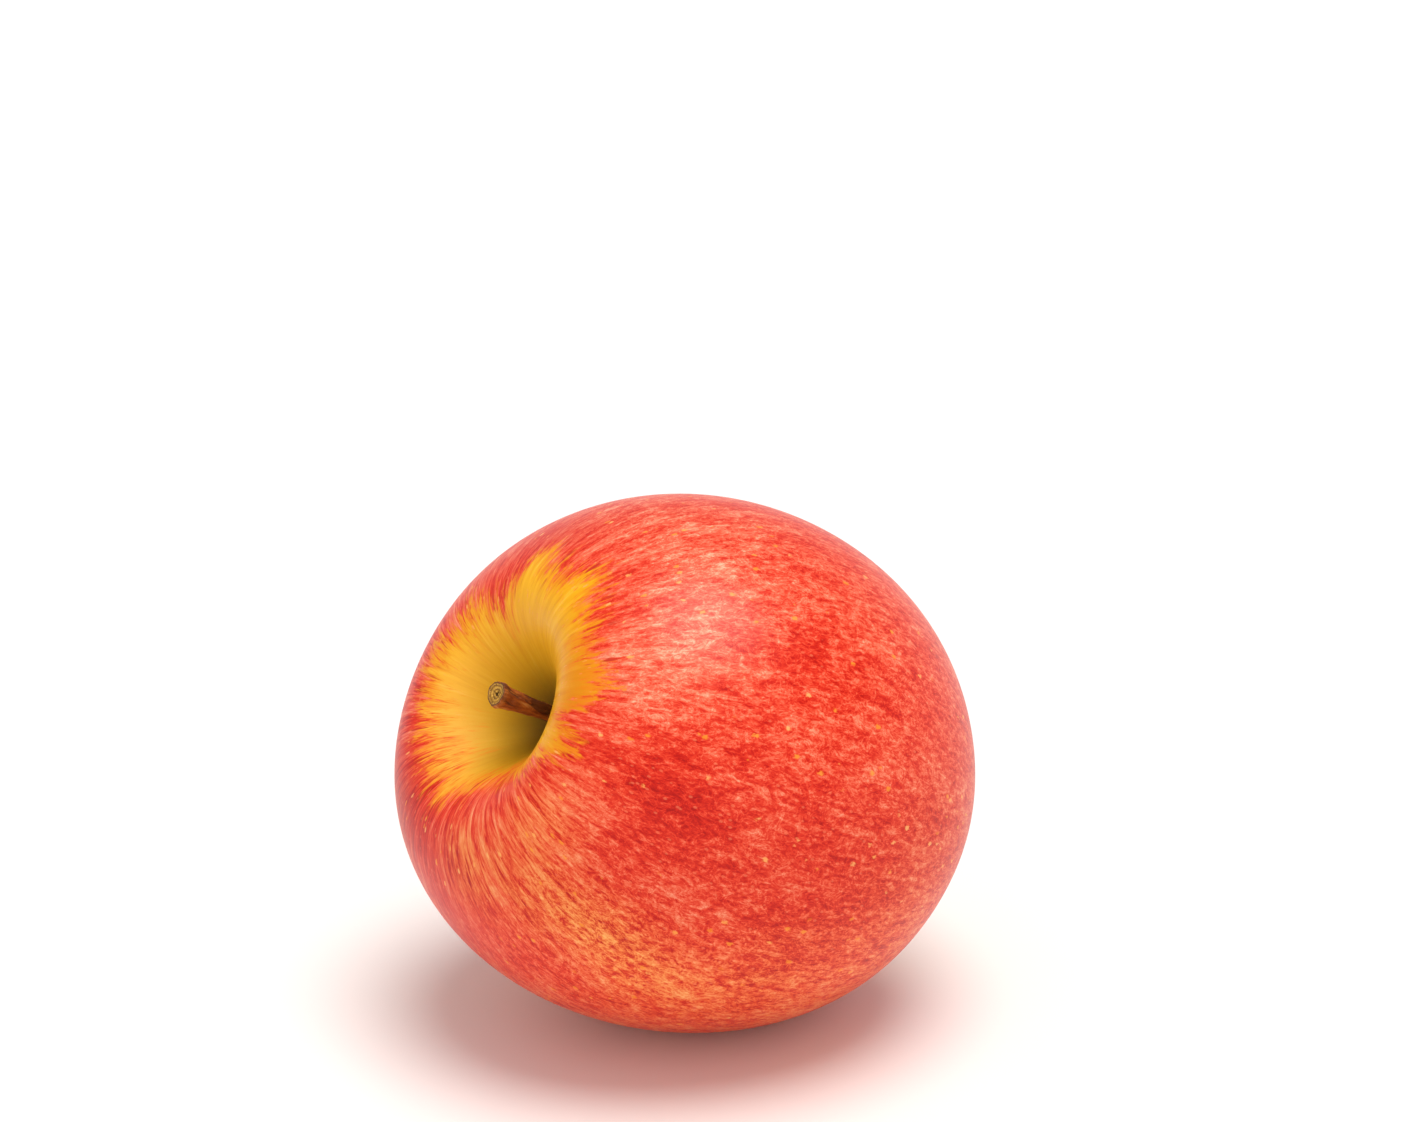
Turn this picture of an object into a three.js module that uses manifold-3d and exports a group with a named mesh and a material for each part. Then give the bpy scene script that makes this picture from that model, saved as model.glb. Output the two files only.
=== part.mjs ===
// An apple lying on its cheek, with its stem, its five dried sepals and its tuft of dried stamens.
//
// Units are millimetres and degrees, +Z is up. The origin is the middle of the small flat that the
// apple rests on. The core lies in the XZ plane, with the stem end towards -X and tilted up.
// Every piece is shaped in the upright frame, where the core is the Z axis and the stem end is up,
// and one group then lays the whole apple down.

import * as THREE from 'three';
import { mergeVertices } from 'three/addons/utils/BufferGeometryUtils.js';
import Module from 'manifold-3d';

const wasm = await Module();
wasm.setup();

// How the apple lies.
const CORE_TILT = 25.6;          // rise of the core above the table, towards the stem end
const REST_FLAT_DEPTH = 1.1;     // how far the cheek is flattened where it rests

// The fruit, in its upright frame.
const GIRTH_RADIUS = 37.2;
const HALF_HEIGHT = 39.7;        // from the middle to either end, before the ends are hollowed
const TOP_HEAVINESS = 0.038;     // how much wider the stem half is than the calyx half, as a share
const SHOULDER_SQUARENESS = 0.05; // how much wider both shoulders are than an ellipsoid's, as a share
const SHOULDER_SLANT = 0.09;     // rise of the stem-end shoulder per millimetre away from the core
const SHOULDER_SLANT_AT = 145;   // direction of the high side of that shoulder
const GIRTH_OVALNESS = 0.0085;   // share by which the girth is out of round
const GIRTH_OVALNESS_AT = -44.5; // direction of the girth's wide axis
const LOBES = 5;                 // one over each seed chamber
const LOBE_SWELL = 0.006;        // share by which the lobes stand out at the calyx end

const STEM_CAVITY = { depth: 17, width: 11, steepness: 1.9 };
const CALYX_BASIN = { depth: 11.5, width: 8.5, steepness: 1.9 };
const CROWN = { rise: 0.5, radius: 12, width: 5 }; // the knobs of the lobes on the basin's rim

// The stem, from its root in the flesh to its broken end.
const STEM_LENGTH = 12;          // standing clear of the flesh
const STEM_ROOT_DEPTH = 3;       // held in the flesh
const STEM_RADIUS = 1.1;
const STEM_END_RADIUS = 1.7;
const STEM_FLARE = 2.4;          // power by which the stem widens towards its end
const STEM_END_ROUNDING = 0.25;
const STEM_BOW = 0.4;            // sideways bow of the end
const STEM_ROOT_X = 1.0;         // offset of the root from the core
const STEM_ROOT_Y = 0.1;
const STEM_LEAN = 8;             // lean away from the core
const STEM_LEAN_AT = -80;        // direction of the lean

// The calyx: a short tube in the flesh, five sepals round its mouth, stamens inside it.
const TUBE_MOUTH_RADIUS = 2.7;
const TUBE_END_RADIUS = 1.8;
const TUBE_DEPTH = 5;
const SEPALS = 5;
const SEPAL_LENGTH = 6.2;
const SEPAL_WIDTH = 3.2;
const SEPAL_THICKNESS = 0.7;
const SEPAL_TAPER = 0.7;         // share of the width lost from root to tip
const SEPAL_LEAN = 1.2;          // how far the tip would lean in over the tube if it did not curl
const SEPAL_CURL = 2.6;          // how far the tip curls back outwards
const STAMENS = 9;
const STAMEN_LENGTH = 5.2;
const STAMEN_RADIUS = 0.26;
const STAMEN_SPREAD = 9;         // lean of the outer stamens
const STAMEN_RING_RADIUS = 0.85;
const STAMEN_PAD_RADIUS = 1.35;
const STAMEN_PAD_HEIGHT = 1;

const CLEARANCE = 0.3;           // gap left between neighbouring pieces
const CUT_MARGIN = 2;            // how far a cutting tool reaches past what it cuts

// Facets.
const FRUIT_RINGS = 40;
const FRUIT_SIDES = 56;
const END_CROWDING = 0.4;        // how much closer the rings lie near the ends of the core
const STEM_SIDES = 14;
const STEM_RINGS = 8;
const SEPAL_SIDES = 10;
const SEPAL_RINGS = 8;
const STAMEN_SIDES = 5;
const STAMEN_PAD_SIDES = 10;
const TUBE_SIDES = 20;

// How finely places on the skin are searched for.
const LOWEST_POINT_STEPS = 720;
const HALVINGS = 40;

const radians = THREE.MathUtils.degToRad;
const UP = new THREE.Vector3(0, 0, 1);

const skinFinish = new THREE.MeshStandardMaterial({ color: 0xdf5a3c, roughness: 0.42, metalness: 0 });
const barkFinish = new THREE.MeshStandardMaterial({ color: 0x6f3a1c, roughness: 0.85, metalness: 0 });
const sepalFinish = new THREE.MeshStandardMaterial({ color: 0x6d5434, roughness: 0.9, metalness: 0 });
const stamenFinish = new THREE.MeshStandardMaterial({ color: 0x4e3620, roughness: 0.9, metalness: 0 });

// ---- shared helpers ----

function weld(geometry) {
  const bare = geometry.clone();
  bare.deleteAttribute('normal');
  bare.deleteAttribute('uv');
  return mergeVertices(bare);
}

function toSolid(geometry, matrix = new THREE.Matrix4()) {
  const welded = weld(geometry).applyMatrix4(matrix);
  const mesh = new wasm.Mesh({
    numProp: 3,
    vertProperties: new Float32Array(welded.attributes.position.array),
    triVerts: new Uint32Array(welded.index.array),
  });
  return new wasm.Manifold(mesh);
}

function toGeometry(solid) {
  const mesh = solid.getMesh();
  const geometry = new THREE.BufferGeometry();
  geometry.setAttribute('position', new THREE.BufferAttribute(mesh.vertProperties, 3));
  geometry.setIndex(new THREE.BufferAttribute(mesh.triVerts, 1));
  geometry.computeVertexNormals();
  return geometry;
}

// Moves every vertex to where rule puts it.
function reshape(geometry, rule) {
  const position = geometry.attributes.position;
  const point = new THREE.Vector3();
  for (let i = 0; i < position.count; i += 1) {
    point.fromBufferAttribute(position, i);
    rule(point);
    position.setXYZ(i, point.x, point.y, point.z);
  }
  geometry.computeVertexNormals();
  return geometry;
}

// A turned body whose profile is a list of [radius, height] pairs, standing along +Z.
function turned(profile, sides) {
  const points = profile.map(([radius, height]) => new THREE.Vector2(radius, height));
  return new THREE.LatheGeometry(points, sides).rotateX(Math.PI / 2);
}

function namedMesh(name, geometry, material) {
  const mesh = new THREE.Mesh(geometry, material);
  mesh.name = name;
  return mesh;
}

// ---- the fruit's surface ----

function hollow({ depth, width, steepness }, radius) {
  return depth * Math.exp(-((radius / width) ** steepness));
}

function crown({ rise, radius, width }, distance, phi) {
  return rise * Math.exp(-(((distance - radius) / width) ** 2)) * Math.cos(LOBES * phi);
}

// A point of the skin. theta runs from the stem end (0) to the calyx end (pi), phi round the core.
function skinPoint(theta, phi, target = new THREE.Vector3()) {
  const c = Math.cos(theta);
  const s = Math.sin(theta);
  const lowness = (1 - c) / 2;
  const round = GIRTH_RADIUS * s * (1 + TOP_HEAVINESS * c + SHOULDER_SQUARENESS * c * c);
  const lobed = LOBE_SWELL * lowness ** 2 * Math.cos(LOBES * phi);
  const oval = GIRTH_OVALNESS * s * s * Math.cos(2 * (phi - radians(GIRTH_OVALNESS_AT)));
  const radius = round * (1 + lobed + oval);
  const slant = SHOULDER_SLANT * (1 - lowness) * Math.cos(phi - radians(SHOULDER_SLANT_AT));
  const height = HALF_HEIGHT * c
    - hollow(STEM_CAVITY, round) * Math.max(c, 0)
    + (hollow(CALYX_BASIN, round) - crown(CROWN, round, phi)) * Math.max(-c, 0)
    + slant * radius;
  return target.set(radius * Math.cos(phi), radius * Math.sin(phi), height);
}

// The skin point at a given distance from the core, on the stem end or the calyx end.
function skinNearCore(distance, phi, stemEnd) {
  const point = new THREE.Vector3();
  const thetaOf = (share) => (stemEnd ? share : 1 - share) * Math.PI;
  let near = 0;
  let far = 0.5;
  for (let step = 0; step < HALVINGS; step += 1) {
    const middle = (near + far) / 2;
    skinPoint(thetaOf(middle), phi, point);
    if (Math.hypot(point.x, point.y) < distance) near = middle;
    else far = middle;
  }
  return point;
}

function fruitSurface() {
  const sphere = weld(new THREE.SphereGeometry(1, FRUIT_SIDES, FRUIT_RINGS)).rotateX(Math.PI / 2);
  return reshape(sphere, (point) => {
    const even = Math.acos(THREE.MathUtils.clamp(point.z, -1, 1)) / Math.PI;
    const crowded = even - END_CROWDING * Math.sin(2 * Math.PI * even) / (2 * Math.PI);
    skinPoint(crowded * Math.PI, Math.atan2(point.y, point.x), point);
  });
}

// ---- how the apple lies ----

// Turns the upright apple onto its cheek and sets the middle of its resting flat on the origin.
function layDown() {
  const turn = new THREE.Matrix4().makeRotationY(-radians(90 - CORE_TILT));
  const point = new THREE.Vector3();
  const lowest = new THREE.Vector3(0, 0, Infinity);
  for (let i = 1; i < LOWEST_POINT_STEPS; i += 1) {
    for (let j = 0; j < LOWEST_POINT_STEPS; j += 1) {
      const theta = Math.PI * i / LOWEST_POINT_STEPS;
      const phi = Math.PI * 2 * j / LOWEST_POINT_STEPS;
      skinPoint(theta, phi, point).applyMatrix4(turn);
      if (point.z < lowest.z) lowest.copy(point);
    }
  }
  const lift = new THREE.Matrix4().makeTranslation(-lowest.x, -lowest.y, -lowest.z - REST_FLAT_DEPTH);
  return lift.multiply(turn);
}

// ---- the stem ----

function stemProfile() {
  const total = STEM_ROOT_DEPTH + STEM_LENGTH;
  const profile = [[0, 0], [STEM_RADIUS, 0], [STEM_RADIUS, STEM_ROOT_DEPTH]];
  for (let ring = 1; ring <= STEM_RINGS; ring += 1) {
    const share = ring / STEM_RINGS;
    const radius = STEM_RADIUS + (STEM_END_RADIUS - STEM_RADIUS) * share ** STEM_FLARE;
    const height = STEM_ROOT_DEPTH + (STEM_LENGTH - STEM_END_ROUNDING) * share;
    profile.push([radius, height]);
  }
  profile.push([STEM_END_RADIUS - STEM_END_ROUNDING, total], [0, total]);
  return profile;
}

function makeStem() {
  const straight = turned(stemProfile(), STEM_SIDES);
  const bowed = reshape(weld(straight), (point) => {
    const share = Math.max(point.z - STEM_ROOT_DEPTH, 0) / STEM_LENGTH;
    point.x += STEM_BOW * share * share;
  });
  const stem = namedMesh('stem', bowed, barkFinish);
  const offset = Math.hypot(STEM_ROOT_X, STEM_ROOT_Y);
  const foot = skinNearCore(offset, Math.atan2(STEM_ROOT_Y, STEM_ROOT_X), true);
  const heading = radians(STEM_LEAN_AT);
  const along = new THREE.Vector3(
    Math.sin(radians(STEM_LEAN)) * Math.cos(heading),
    Math.sin(radians(STEM_LEAN)) * Math.sin(heading),
    Math.cos(radians(STEM_LEAN)),
  );
  stem.quaternion.setFromUnitVectors(UP, along);
  stem.position.copy(foot).addScaledVector(along, -STEM_ROOT_DEPTH);
  stem.updateMatrix();
  return stem;
}

// The hole that the stem's root stands in, all round it and below it by the clearance.
function stemSocket(stem) {
  const radius = STEM_RADIUS + CLEARANCE;
  const top = STEM_ROOT_DEPTH + CUT_MARGIN;
  const hole = turned([[0, -CLEARANCE], [radius, -CLEARANCE], [radius, top], [0, top]], STEM_SIDES);
  return toSolid(hole, stem.matrix);
}

// ---- the calyx, shaped in a frame that stands on the basin's bottom and points out of it ----

function calyxGroup() {
  const group = new THREE.Group();
  group.position.copy(skinPoint(Math.PI, 0));
  group.rotation.x = Math.PI;
  group.updateMatrix();
  return group;
}

function calyxTube(calyx) {
  const flare = (TUBE_MOUTH_RADIUS - TUBE_END_RADIUS) / TUBE_DEPTH;
  const top = TUBE_MOUTH_RADIUS + flare * CUT_MARGIN;
  const profile = [[0, -TUBE_DEPTH], [TUBE_END_RADIUS, -TUBE_DEPTH], [top, CUT_MARGIN], [0, CUT_MARGIN]];
  return toSolid(turned(profile, TUBE_SIDES), calyx.matrix);
}

function makeSepal(index, calyx) {
  const leaf = weld(new THREE.SphereGeometry(1, SEPAL_SIDES, SEPAL_RINGS)).rotateX(Math.PI / 2);
  const curled = reshape(leaf, (point) => {
    const share = (point.z + 1) / 2;
    point.x = point.x * SEPAL_THICKNESS / 2 - SEPAL_LEAN * share + SEPAL_CURL * share * share;
    point.y *= SEPAL_WIDTH / 2 * (1 - SEPAL_TAPER * share);
    point.z = SEPAL_LENGTH * share;
  });
  const sepal = namedMesh(`sepal_${index + 1}`, curled, sepalFinish);
  const heading = 2 * Math.PI * index / SEPALS;
  const distance = TUBE_MOUTH_RADIUS + CLEARANCE + SEPAL_THICKNESS;
  const foot = skinNearCore(distance, -heading, false);
  const height = calyx.position.z - foot.z + CLEARANCE;
  sepal.position.set(distance * Math.cos(heading), distance * Math.sin(heading), height);
  sepal.rotation.z = heading;
  return sepal;
}

function makeStamenTuft() {
  const bottom = -TUBE_DEPTH + CLEARANCE;
  const pad = [
    [0, bottom],
    [STAMEN_PAD_RADIUS, bottom],
    [STAMEN_PAD_RADIUS, bottom + STAMEN_PAD_HEIGHT],
    [0, bottom + STAMEN_PAD_HEIGHT],
  ];
  let tuft = toSolid(turned(pad, STAMEN_PAD_SIDES));
  const thread = new THREE.ConeGeometry(STAMEN_RADIUS, STAMEN_LENGTH, STAMEN_SIDES)
    .rotateX(Math.PI / 2)
    .translate(0, 0, STAMEN_LENGTH / 2);
  for (let index = 0; index < STAMENS; index += 1) {
    const outer = index > 0;
    const heading = 2 * Math.PI * index / (STAMENS - 1);
    const lean = new THREE.Matrix4().makeRotationY(outer ? radians(STAMEN_SPREAD) : 0);
    const root = bottom + STAMEN_PAD_HEIGHT / 2;
    const shift = new THREE.Matrix4().makeTranslation(outer ? STAMEN_RING_RADIUS : 0, 0, root);
    const place = new THREE.Matrix4().makeRotationZ(heading).multiply(shift).multiply(lean);
    tuft = tuft.add(toSolid(thread, place));
  }
  return namedMesh('stamen_tuft', toGeometry(tuft), stamenFinish);
}

// ---- the whole apple ----

function makeFruit(stem, calyx, lying) {
  const slabSize = 4 * Math.max(GIRTH_RADIUS, HALF_HEIGHT);
  const slab = new THREE.BoxGeometry(slabSize, slabSize, slabSize).translate(0, 0, -slabSize / 2);
  const table = toSolid(slab, lying.clone().invert());
  const solid = toSolid(fruitSurface())
    .subtract(stemSocket(stem))
    .subtract(calyxTube(calyx))
    .subtract(table);
  return namedMesh('fruit', toGeometry(solid), skinFinish);
}

function makeApple() {
  const lying = layDown();
  const stem = makeStem();
  const calyx = calyxGroup();
  for (let index = 0; index < SEPALS; index += 1) calyx.add(makeSepal(index, calyx));
  calyx.add(makeStamenTuft());

  const upright = new THREE.Group();
  upright.add(makeFruit(stem, calyx, lying), stem, calyx);
  upright.applyMatrix4(lying);

  const apple = new THREE.Group();
  apple.add(upright);
  return apple;
}

const group = makeApple();
export default group;
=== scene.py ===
"""Looks for an apple lying on its cheek: skin, stem, dried calyx, table, light and camera.

Lengths are metres and angles degrees unless a name says otherwise. Every piece is shaped in the
upright frame, where the core is the Z axis with the stem end up, and Lying then sets it where the
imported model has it. Longitude runs round the core and is 0 on the side that faces up; colatitude
runs from 0 at the stem end to 180 at the calyx end.
"""

import logging
import math
from dataclasses import dataclass, field
from enum import Enum
from functools import cached_property
from typing import Optional, Sequence, Union

import bpy
import numpy as np
from mathutils import Matrix, Vector


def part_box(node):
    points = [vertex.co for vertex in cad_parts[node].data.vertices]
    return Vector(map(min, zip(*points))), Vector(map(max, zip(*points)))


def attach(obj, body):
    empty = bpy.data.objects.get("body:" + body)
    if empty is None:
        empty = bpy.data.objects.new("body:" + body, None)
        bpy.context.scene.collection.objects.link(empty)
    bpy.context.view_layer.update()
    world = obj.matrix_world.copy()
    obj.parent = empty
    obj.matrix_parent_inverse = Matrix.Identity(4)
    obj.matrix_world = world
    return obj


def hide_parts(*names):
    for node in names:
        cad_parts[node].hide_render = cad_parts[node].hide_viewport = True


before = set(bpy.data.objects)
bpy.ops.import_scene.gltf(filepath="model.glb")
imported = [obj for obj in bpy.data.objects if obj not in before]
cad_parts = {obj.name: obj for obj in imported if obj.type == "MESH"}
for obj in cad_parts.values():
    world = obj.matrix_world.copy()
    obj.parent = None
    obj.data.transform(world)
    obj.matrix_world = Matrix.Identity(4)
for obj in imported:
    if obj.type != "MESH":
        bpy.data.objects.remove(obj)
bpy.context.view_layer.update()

LOG = logging.getLogger("apple")
MM = 0.001
FULL_TURN = 2.0 * math.pi
BODY = "root"

Array = np.ndarray
Socket = bpy.types.NodeSocket
Input = Union[float, Sequence[float], Socket]
Pair = tuple[float, float]
Triple = tuple[float, float, float]
Stops = tuple[tuple[float, str], ...]

# Turns a piece that was built standing up upside down, so that it points out of the calyx end.
TIPPED = np.diag([1.0, -1.0, -1.0])


# ---------------------------------------------------------------- small helpers


def smoothstep(low: float, high: float, value: Array) -> Array:
    """Returns 0 before low, 1 past high, and t * t * (3 - 2 t) of the share t between them."""
    share = np.clip((value - low) / (high - low), 0.0, 1.0)
    return share * share * (3.0 - 2.0 * share)


def bell(value: Array, centre: float, width: float) -> Array:
    """Returns a bell curve: the exponential of minus the square of (value - centre) / width."""
    return np.exp(-(((value - centre) / width) ** 2))


def turn_between(angle: Array, centre: float) -> Array:
    """Returns how far angle lies from centre, both in degrees, the short way round."""
    return (angle - centre + 180.0) % 360.0 - 180.0


def round_angles(count: int) -> Array:
    """Returns evenly spread angles round a full turn, in radians, as one row."""
    return (np.arange(count) * FULL_TURN / count)[None, :]


def grid_points(x: Array, y: Array, z: Array) -> Array:
    """Returns points from their coordinates, each spread over the same grid, shaped (..., 3)."""
    return np.stack(np.broadcast_arrays(x, y, z), -1)


def direction(elevation: float, heading: float) -> Array:
    """Works out a unit vector.

    Args:
        elevation: angle above the XY plane, in degrees.
        heading: angle from +X round to +Y, in degrees.

    Returns:
        The vector, shaped (3,).
    """
    rise, round_ = math.radians(elevation), math.radians(heading)
    flat = math.cos(rise)
    return np.array([flat * math.cos(round_), flat * math.sin(round_), math.sin(rise)])


def frame_along(tangent: Array) -> tuple[Array, Array]:
    """Works out two unit vectors square to each tangent of a path.

    Args:
        tangent: unit tangents, shaped (..., 3), none of them along +Y.

    Returns:
        The two sideways directions, each shaped as tangent.
    """
    side = np.cross(np.array([0.0, 1.0, 0.0]), tangent)
    side /= np.linalg.norm(side, axis=-1, keepdims=True)
    return side, np.cross(tangent, side)


@dataclass(frozen=True)
class Waves:
    """A smooth uneven field: a sum of sine waves with fixed random directions and phases."""

    seed: int
    count: int
    low: float
    high: float

    def at(self, points: Array) -> Array:
        """Works out the field, between about -1 and 1.

        Formula: the mean of sin(k . p + phase) over the waves, times the root of half their number,
        where the length of each k is spread evenly between low and high.

        Args:
            points: places, shaped (..., 3).

        Returns:
            The field at each place, shaped (...).
        """
        rng = np.random.default_rng(self.seed)
        way = rng.normal(size=(self.count, 3))
        way /= np.linalg.norm(way, axis=1, keepdims=True)
        way *= np.linspace(self.low, self.high, self.count)[:, None]
        phase = rng.uniform(0.0, FULL_TURN, self.count)
        return np.sin(points @ way.T + phase).mean(-1) * math.sqrt(self.count / 2.0)


# ---------------------------------------------------------------- meshes from grids


@dataclass
class Skin:
    """One closed surface: rings of points from one end to the other, with values on the points."""

    rings: Array
    ends: Array
    values: dict[str, Array] = field(default_factory=dict)
    end_values: dict[str, Array] = field(default_factory=dict)

    def faces(self) -> tuple[Array, Array]:
        """Joins the points up.

        Formula: each quad joins two neighbours on one ring to the same two on the next, and a fan
        of triangles joins each outermost ring to its end point.

        Returns:
            The quads, shaped (quads, 4), and the triangles, shaped (triangles, 3).
        """
        count, sides = self.rings.shape[:2]
        here = np.arange(sides)
        after = (here + 1) % sides
        start = (np.arange(count - 1) * sides)[:, None]
        below = start + sides
        quads = np.stack([start + here, below + here, below + after, start + after], -1)
        first, last = count * sides, count * sides + 1
        base = (count - 1) * sides
        opening = np.stack([np.full(sides, first), here, after], -1)
        closing = np.stack([np.full(sides, last), base + after, base + here], -1)
        return quads.reshape(-1, 4), np.concatenate([opening, closing])

    def points(self) -> Array:
        """Returns all the points as one list, the two end points last."""
        return np.concatenate([self.rings.reshape(-1, 3), self.ends])

    def value_list(self, key: str) -> Array:
        """Returns one of the surface's values for each of its points, in their order."""
        wide = self.values[key].reshape(self.rings.shape[0] * self.rings.shape[1], -1)
        return np.concatenate([wide, self.end_values[key].reshape(2, -1)])


def build_object(name: str, skins: Sequence[Skin]) -> bpy.types.Object:
    """Makes one smooth object from closed surfaces, with their values as point attributes.

    Args:
        name: the piece's name.
        skins: the surfaces, all with the same values.

    Returns:
        The new object, at the origin, linked to the scene.
    """
    points = [skin.points() for skin in skins]
    shifts = np.cumsum([0] + [len(part) for part in points[:-1]])
    pairs = [skin.faces() for skin in skins]
    quads = np.concatenate([pair[0] + shift for pair, shift in zip(pairs, shifts)])
    fans = np.concatenate([pair[1] + shift for pair, shift in zip(pairs, shifts)])
    corners = np.concatenate([quads.ravel(), fans.ravel()])
    starts = np.concatenate([4 * np.arange(len(quads)), 4 * len(quads) + 3 * np.arange(len(fans))])
    mesh = bpy.data.meshes.new(name)
    mesh.vertices.add(sum(len(part) for part in points))
    mesh.vertices.foreach_set("co", np.concatenate(points).astype(np.float32).ravel())
    mesh.loops.add(len(corners))
    mesh.loops.foreach_set("vertex_index", corners.astype(np.int32))
    mesh.polygons.add(len(starts))
    mesh.polygons.foreach_set("loop_start", starts.astype(np.int32))
    mesh.update(calc_edges=True)
    for key in skins[0].values:
        data = np.concatenate([skin.value_list(key) for skin in skins])
        vector = data.shape[1] == 3
        layer = mesh.attributes.new(key, "FLOAT_VECTOR" if vector else "FLOAT", "POINT")
        layer.data.foreach_set("vector" if vector else "value", data.astype(np.float32).ravel())
    mesh.shade_smooth()
    piece = bpy.data.objects.new(name, mesh)
    bpy.context.scene.collection.objects.link(piece)
    return piece


def hand_over(
    piece: bpy.types.Object, material: bpy.types.Material, node: str
) -> bpy.types.Object:
    """Dresses a finished piece, lets it ride on the fruit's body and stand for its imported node.

    Args:
        piece: the piece.
        material: what it is dressed in.
        node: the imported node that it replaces.

    Returns:
        The same piece.
    """
    piece.data.materials.append(material)
    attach(piece, BODY)
    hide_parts(node)
    LOG.info("%s: %d faces, stands for %s", piece.name, len(piece.data.polygons), node)
    return piece


# ---------------------------------------------------------------- materials


def paint(code: str) -> tuple[float, float, float, float]:
    """Turns a colour code into linear light, by the standard curve of a screen's colours.

    Args:
        code: "#" and six digits.

    Returns:
        Red, green, blue and alpha.
    """
    shown = [int(code[i:i + 2], 16) / 255.0 for i in (1, 3, 5)]
    linear = [c / 12.92 if c <= 0.04045 else ((c + 0.055) / 1.055) ** 2.4 for c in shown]
    return linear[0], linear[1], linear[2], 1.0


class Sum(Enum):
    """What is done with the numbers that are fed to a Math node."""

    PLUS = "ADD"
    MINUS = "SUBTRACT"
    TIMES = "MULTIPLY"
    TIMES_PLUS = "MULTIPLY_ADD"
    SIZE = "ABSOLUTE"
    WAVE = "SINE"


@dataclass(frozen=True)
class Cloud:
    """Fractal noise: its swings per metre along each axis, and where and how rough it is."""

    per_metre: Triple
    shift: Triple = (0.0, 0.0, 0.0)
    detail: float = 3.0
    roughness: float = 0.5
    distortion: float = 0.0


class Graph:
    """A material being wired: one method for each kind of node that the finishes use."""

    # A Mix node has its own sockets for each kind of value: the two that it mixes, and the result.
    MIX_NUMBERS = (2, 3, 0)
    MIX_COLOURS = (6, 7, 2)

    def __init__(self, name: str) -> None:
        """Starts a material with a plain Principled shader.

        Args:
            name: the material's name.
        """
        self.material = bpy.data.materials.new(name)
        self.material.use_nodes = True
        self.tree = self.material.node_tree
        self.tree.nodes.clear()
        self.shader = self.node("BsdfPrincipled", {})
        self.node("OutputMaterial", {"Surface": self.shader.outputs["BSDF"]})

    def feed(self, target: Socket, value: Input) -> None:
        """Links a socket to a target, or writes a constant onto it.

        Args:
            target: the input to feed.
            value: another node's output, a number or a list of numbers.
        """
        if isinstance(value, bpy.types.NodeSocket):
            self.tree.links.new(value, target)
        else:
            target.default_value = value

    def node(
        self, kind: str, inputs: dict[Union[int, str], Input], **settings: str
    ) -> bpy.types.Node:
        """Adds a node.

        Args:
            kind: its type, without the "ShaderNode" that every type begins with.
            inputs: what its inputs are fed, by name or by number.
            settings: its properties, which are set first.

        Returns:
            The node.
        """
        node = self.tree.nodes.new("ShaderNode" + kind)
        for key, value in settings.items():
            setattr(node, key, value)
        for key, value in inputs.items():
            self.feed(node.inputs[key], value)
        return node

    def surface(self, **inputs: Input) -> bpy.types.Material:
        """Feeds the shader and ends the wiring.

        Args:
            inputs: what the shader's inputs are fed; a name's underscores stand for spaces.

        Returns:
            The finished material.
        """
        for key, value in inputs.items():
            self.feed(self.shader.inputs[key.replace("_", " ")], value)
        return self.material

    def attribute(self, name: str) -> Socket:
        """Returns a number that the mesh carries on its points."""
        return self.node("Attribute", {}, attribute_name=name).outputs["Fac"]

    def vector_attribute(self, name: str) -> Socket:
        """Returns a vector that the mesh carries on its points."""
        return self.node("Attribute", {}, attribute_name=name).outputs["Vector"]

    def place(self) -> Socket:
        """Returns the Object coordinates, in metres."""
        return self.node("TexCoord", {}).outputs["Object"]

    def stretch(self, vector: Socket, factors: Triple, shift: Triple = (0.0, 0.0, 0.0)) -> Socket:
        """Returns a vector times one factor for each axis, moved by a shift."""
        inputs = {0: vector, 1: factors, 2: shift}
        return self.node("VectorMath", inputs, operation="MULTIPLY_ADD").outputs[0]

    def noise(self, vector: Socket, cloud: Cloud) -> Socket:
        """Adds fractal noise.

        Args:
            vector: where it is read, in metres.
            cloud: its size and roughness.

        Returns:
            The noise, between 0 and 1 and about 0.5 on average.
        """
        return self.node("TexNoise", {
            "Vector": self.stretch(vector, cloud.per_metre, cloud.shift), "Scale": 1.0,
            "Detail": cloud.detail, "Roughness": cloud.roughness, "Distortion": cloud.distortion,
        }).outputs[0]

    def swing(self, vector: Socket, cloud: Cloud) -> Socket:
        """Returns fractal noise about 0: the noise less its average."""
        return self.plus(self.noise(vector, cloud), -0.5)

    def cells(self, vector: Socket, per_metre: Triple, shift: Triple) -> tuple[Socket, Socket]:
        """Scatters points, one in each cell of a grid.

        Args:
            vector: where they are read, in metres.
            per_metre: the cells per metre along each axis.
            shift: how far the grid is moved, in cells.

        Returns:
            The distance to the nearest point, in cells, and that point's random colour.
        """
        inputs = {"Vector": self.stretch(vector, per_metre, shift), "Scale": 1.0}
        node = self.node("TexVoronoi", inputs)
        return node.outputs["Distance"], node.outputs["Color"]

    def fit(
        self, value: Input, low: float, high: float, to_low: float = 0.0, to_high: float = 1.0
    ) -> Socket:
        """Carries one range smoothly over to another, held at its ends.

        Args:
            value: the number to carry over.
            low: where the first range starts; it may be above high, for a fall.
            high: where the first range ends.
            to_low: what low becomes.
            to_high: what high becomes.

        Returns:
            The number in the second range.
        """
        return self.node("MapRange", {
            "Value": value, "From Min": low, "From Max": high, "To Min": to_low, "To Max": to_high,
        }, interpolation_type="SMOOTHSTEP").outputs["Result"]

    def reckon(self, what: Sum, *numbers: Input) -> Socket:
        """Returns the result of an operation on as many numbers as it takes."""
        return self.node("Math", dict(enumerate(numbers)), operation=what.value).outputs[0]

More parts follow.
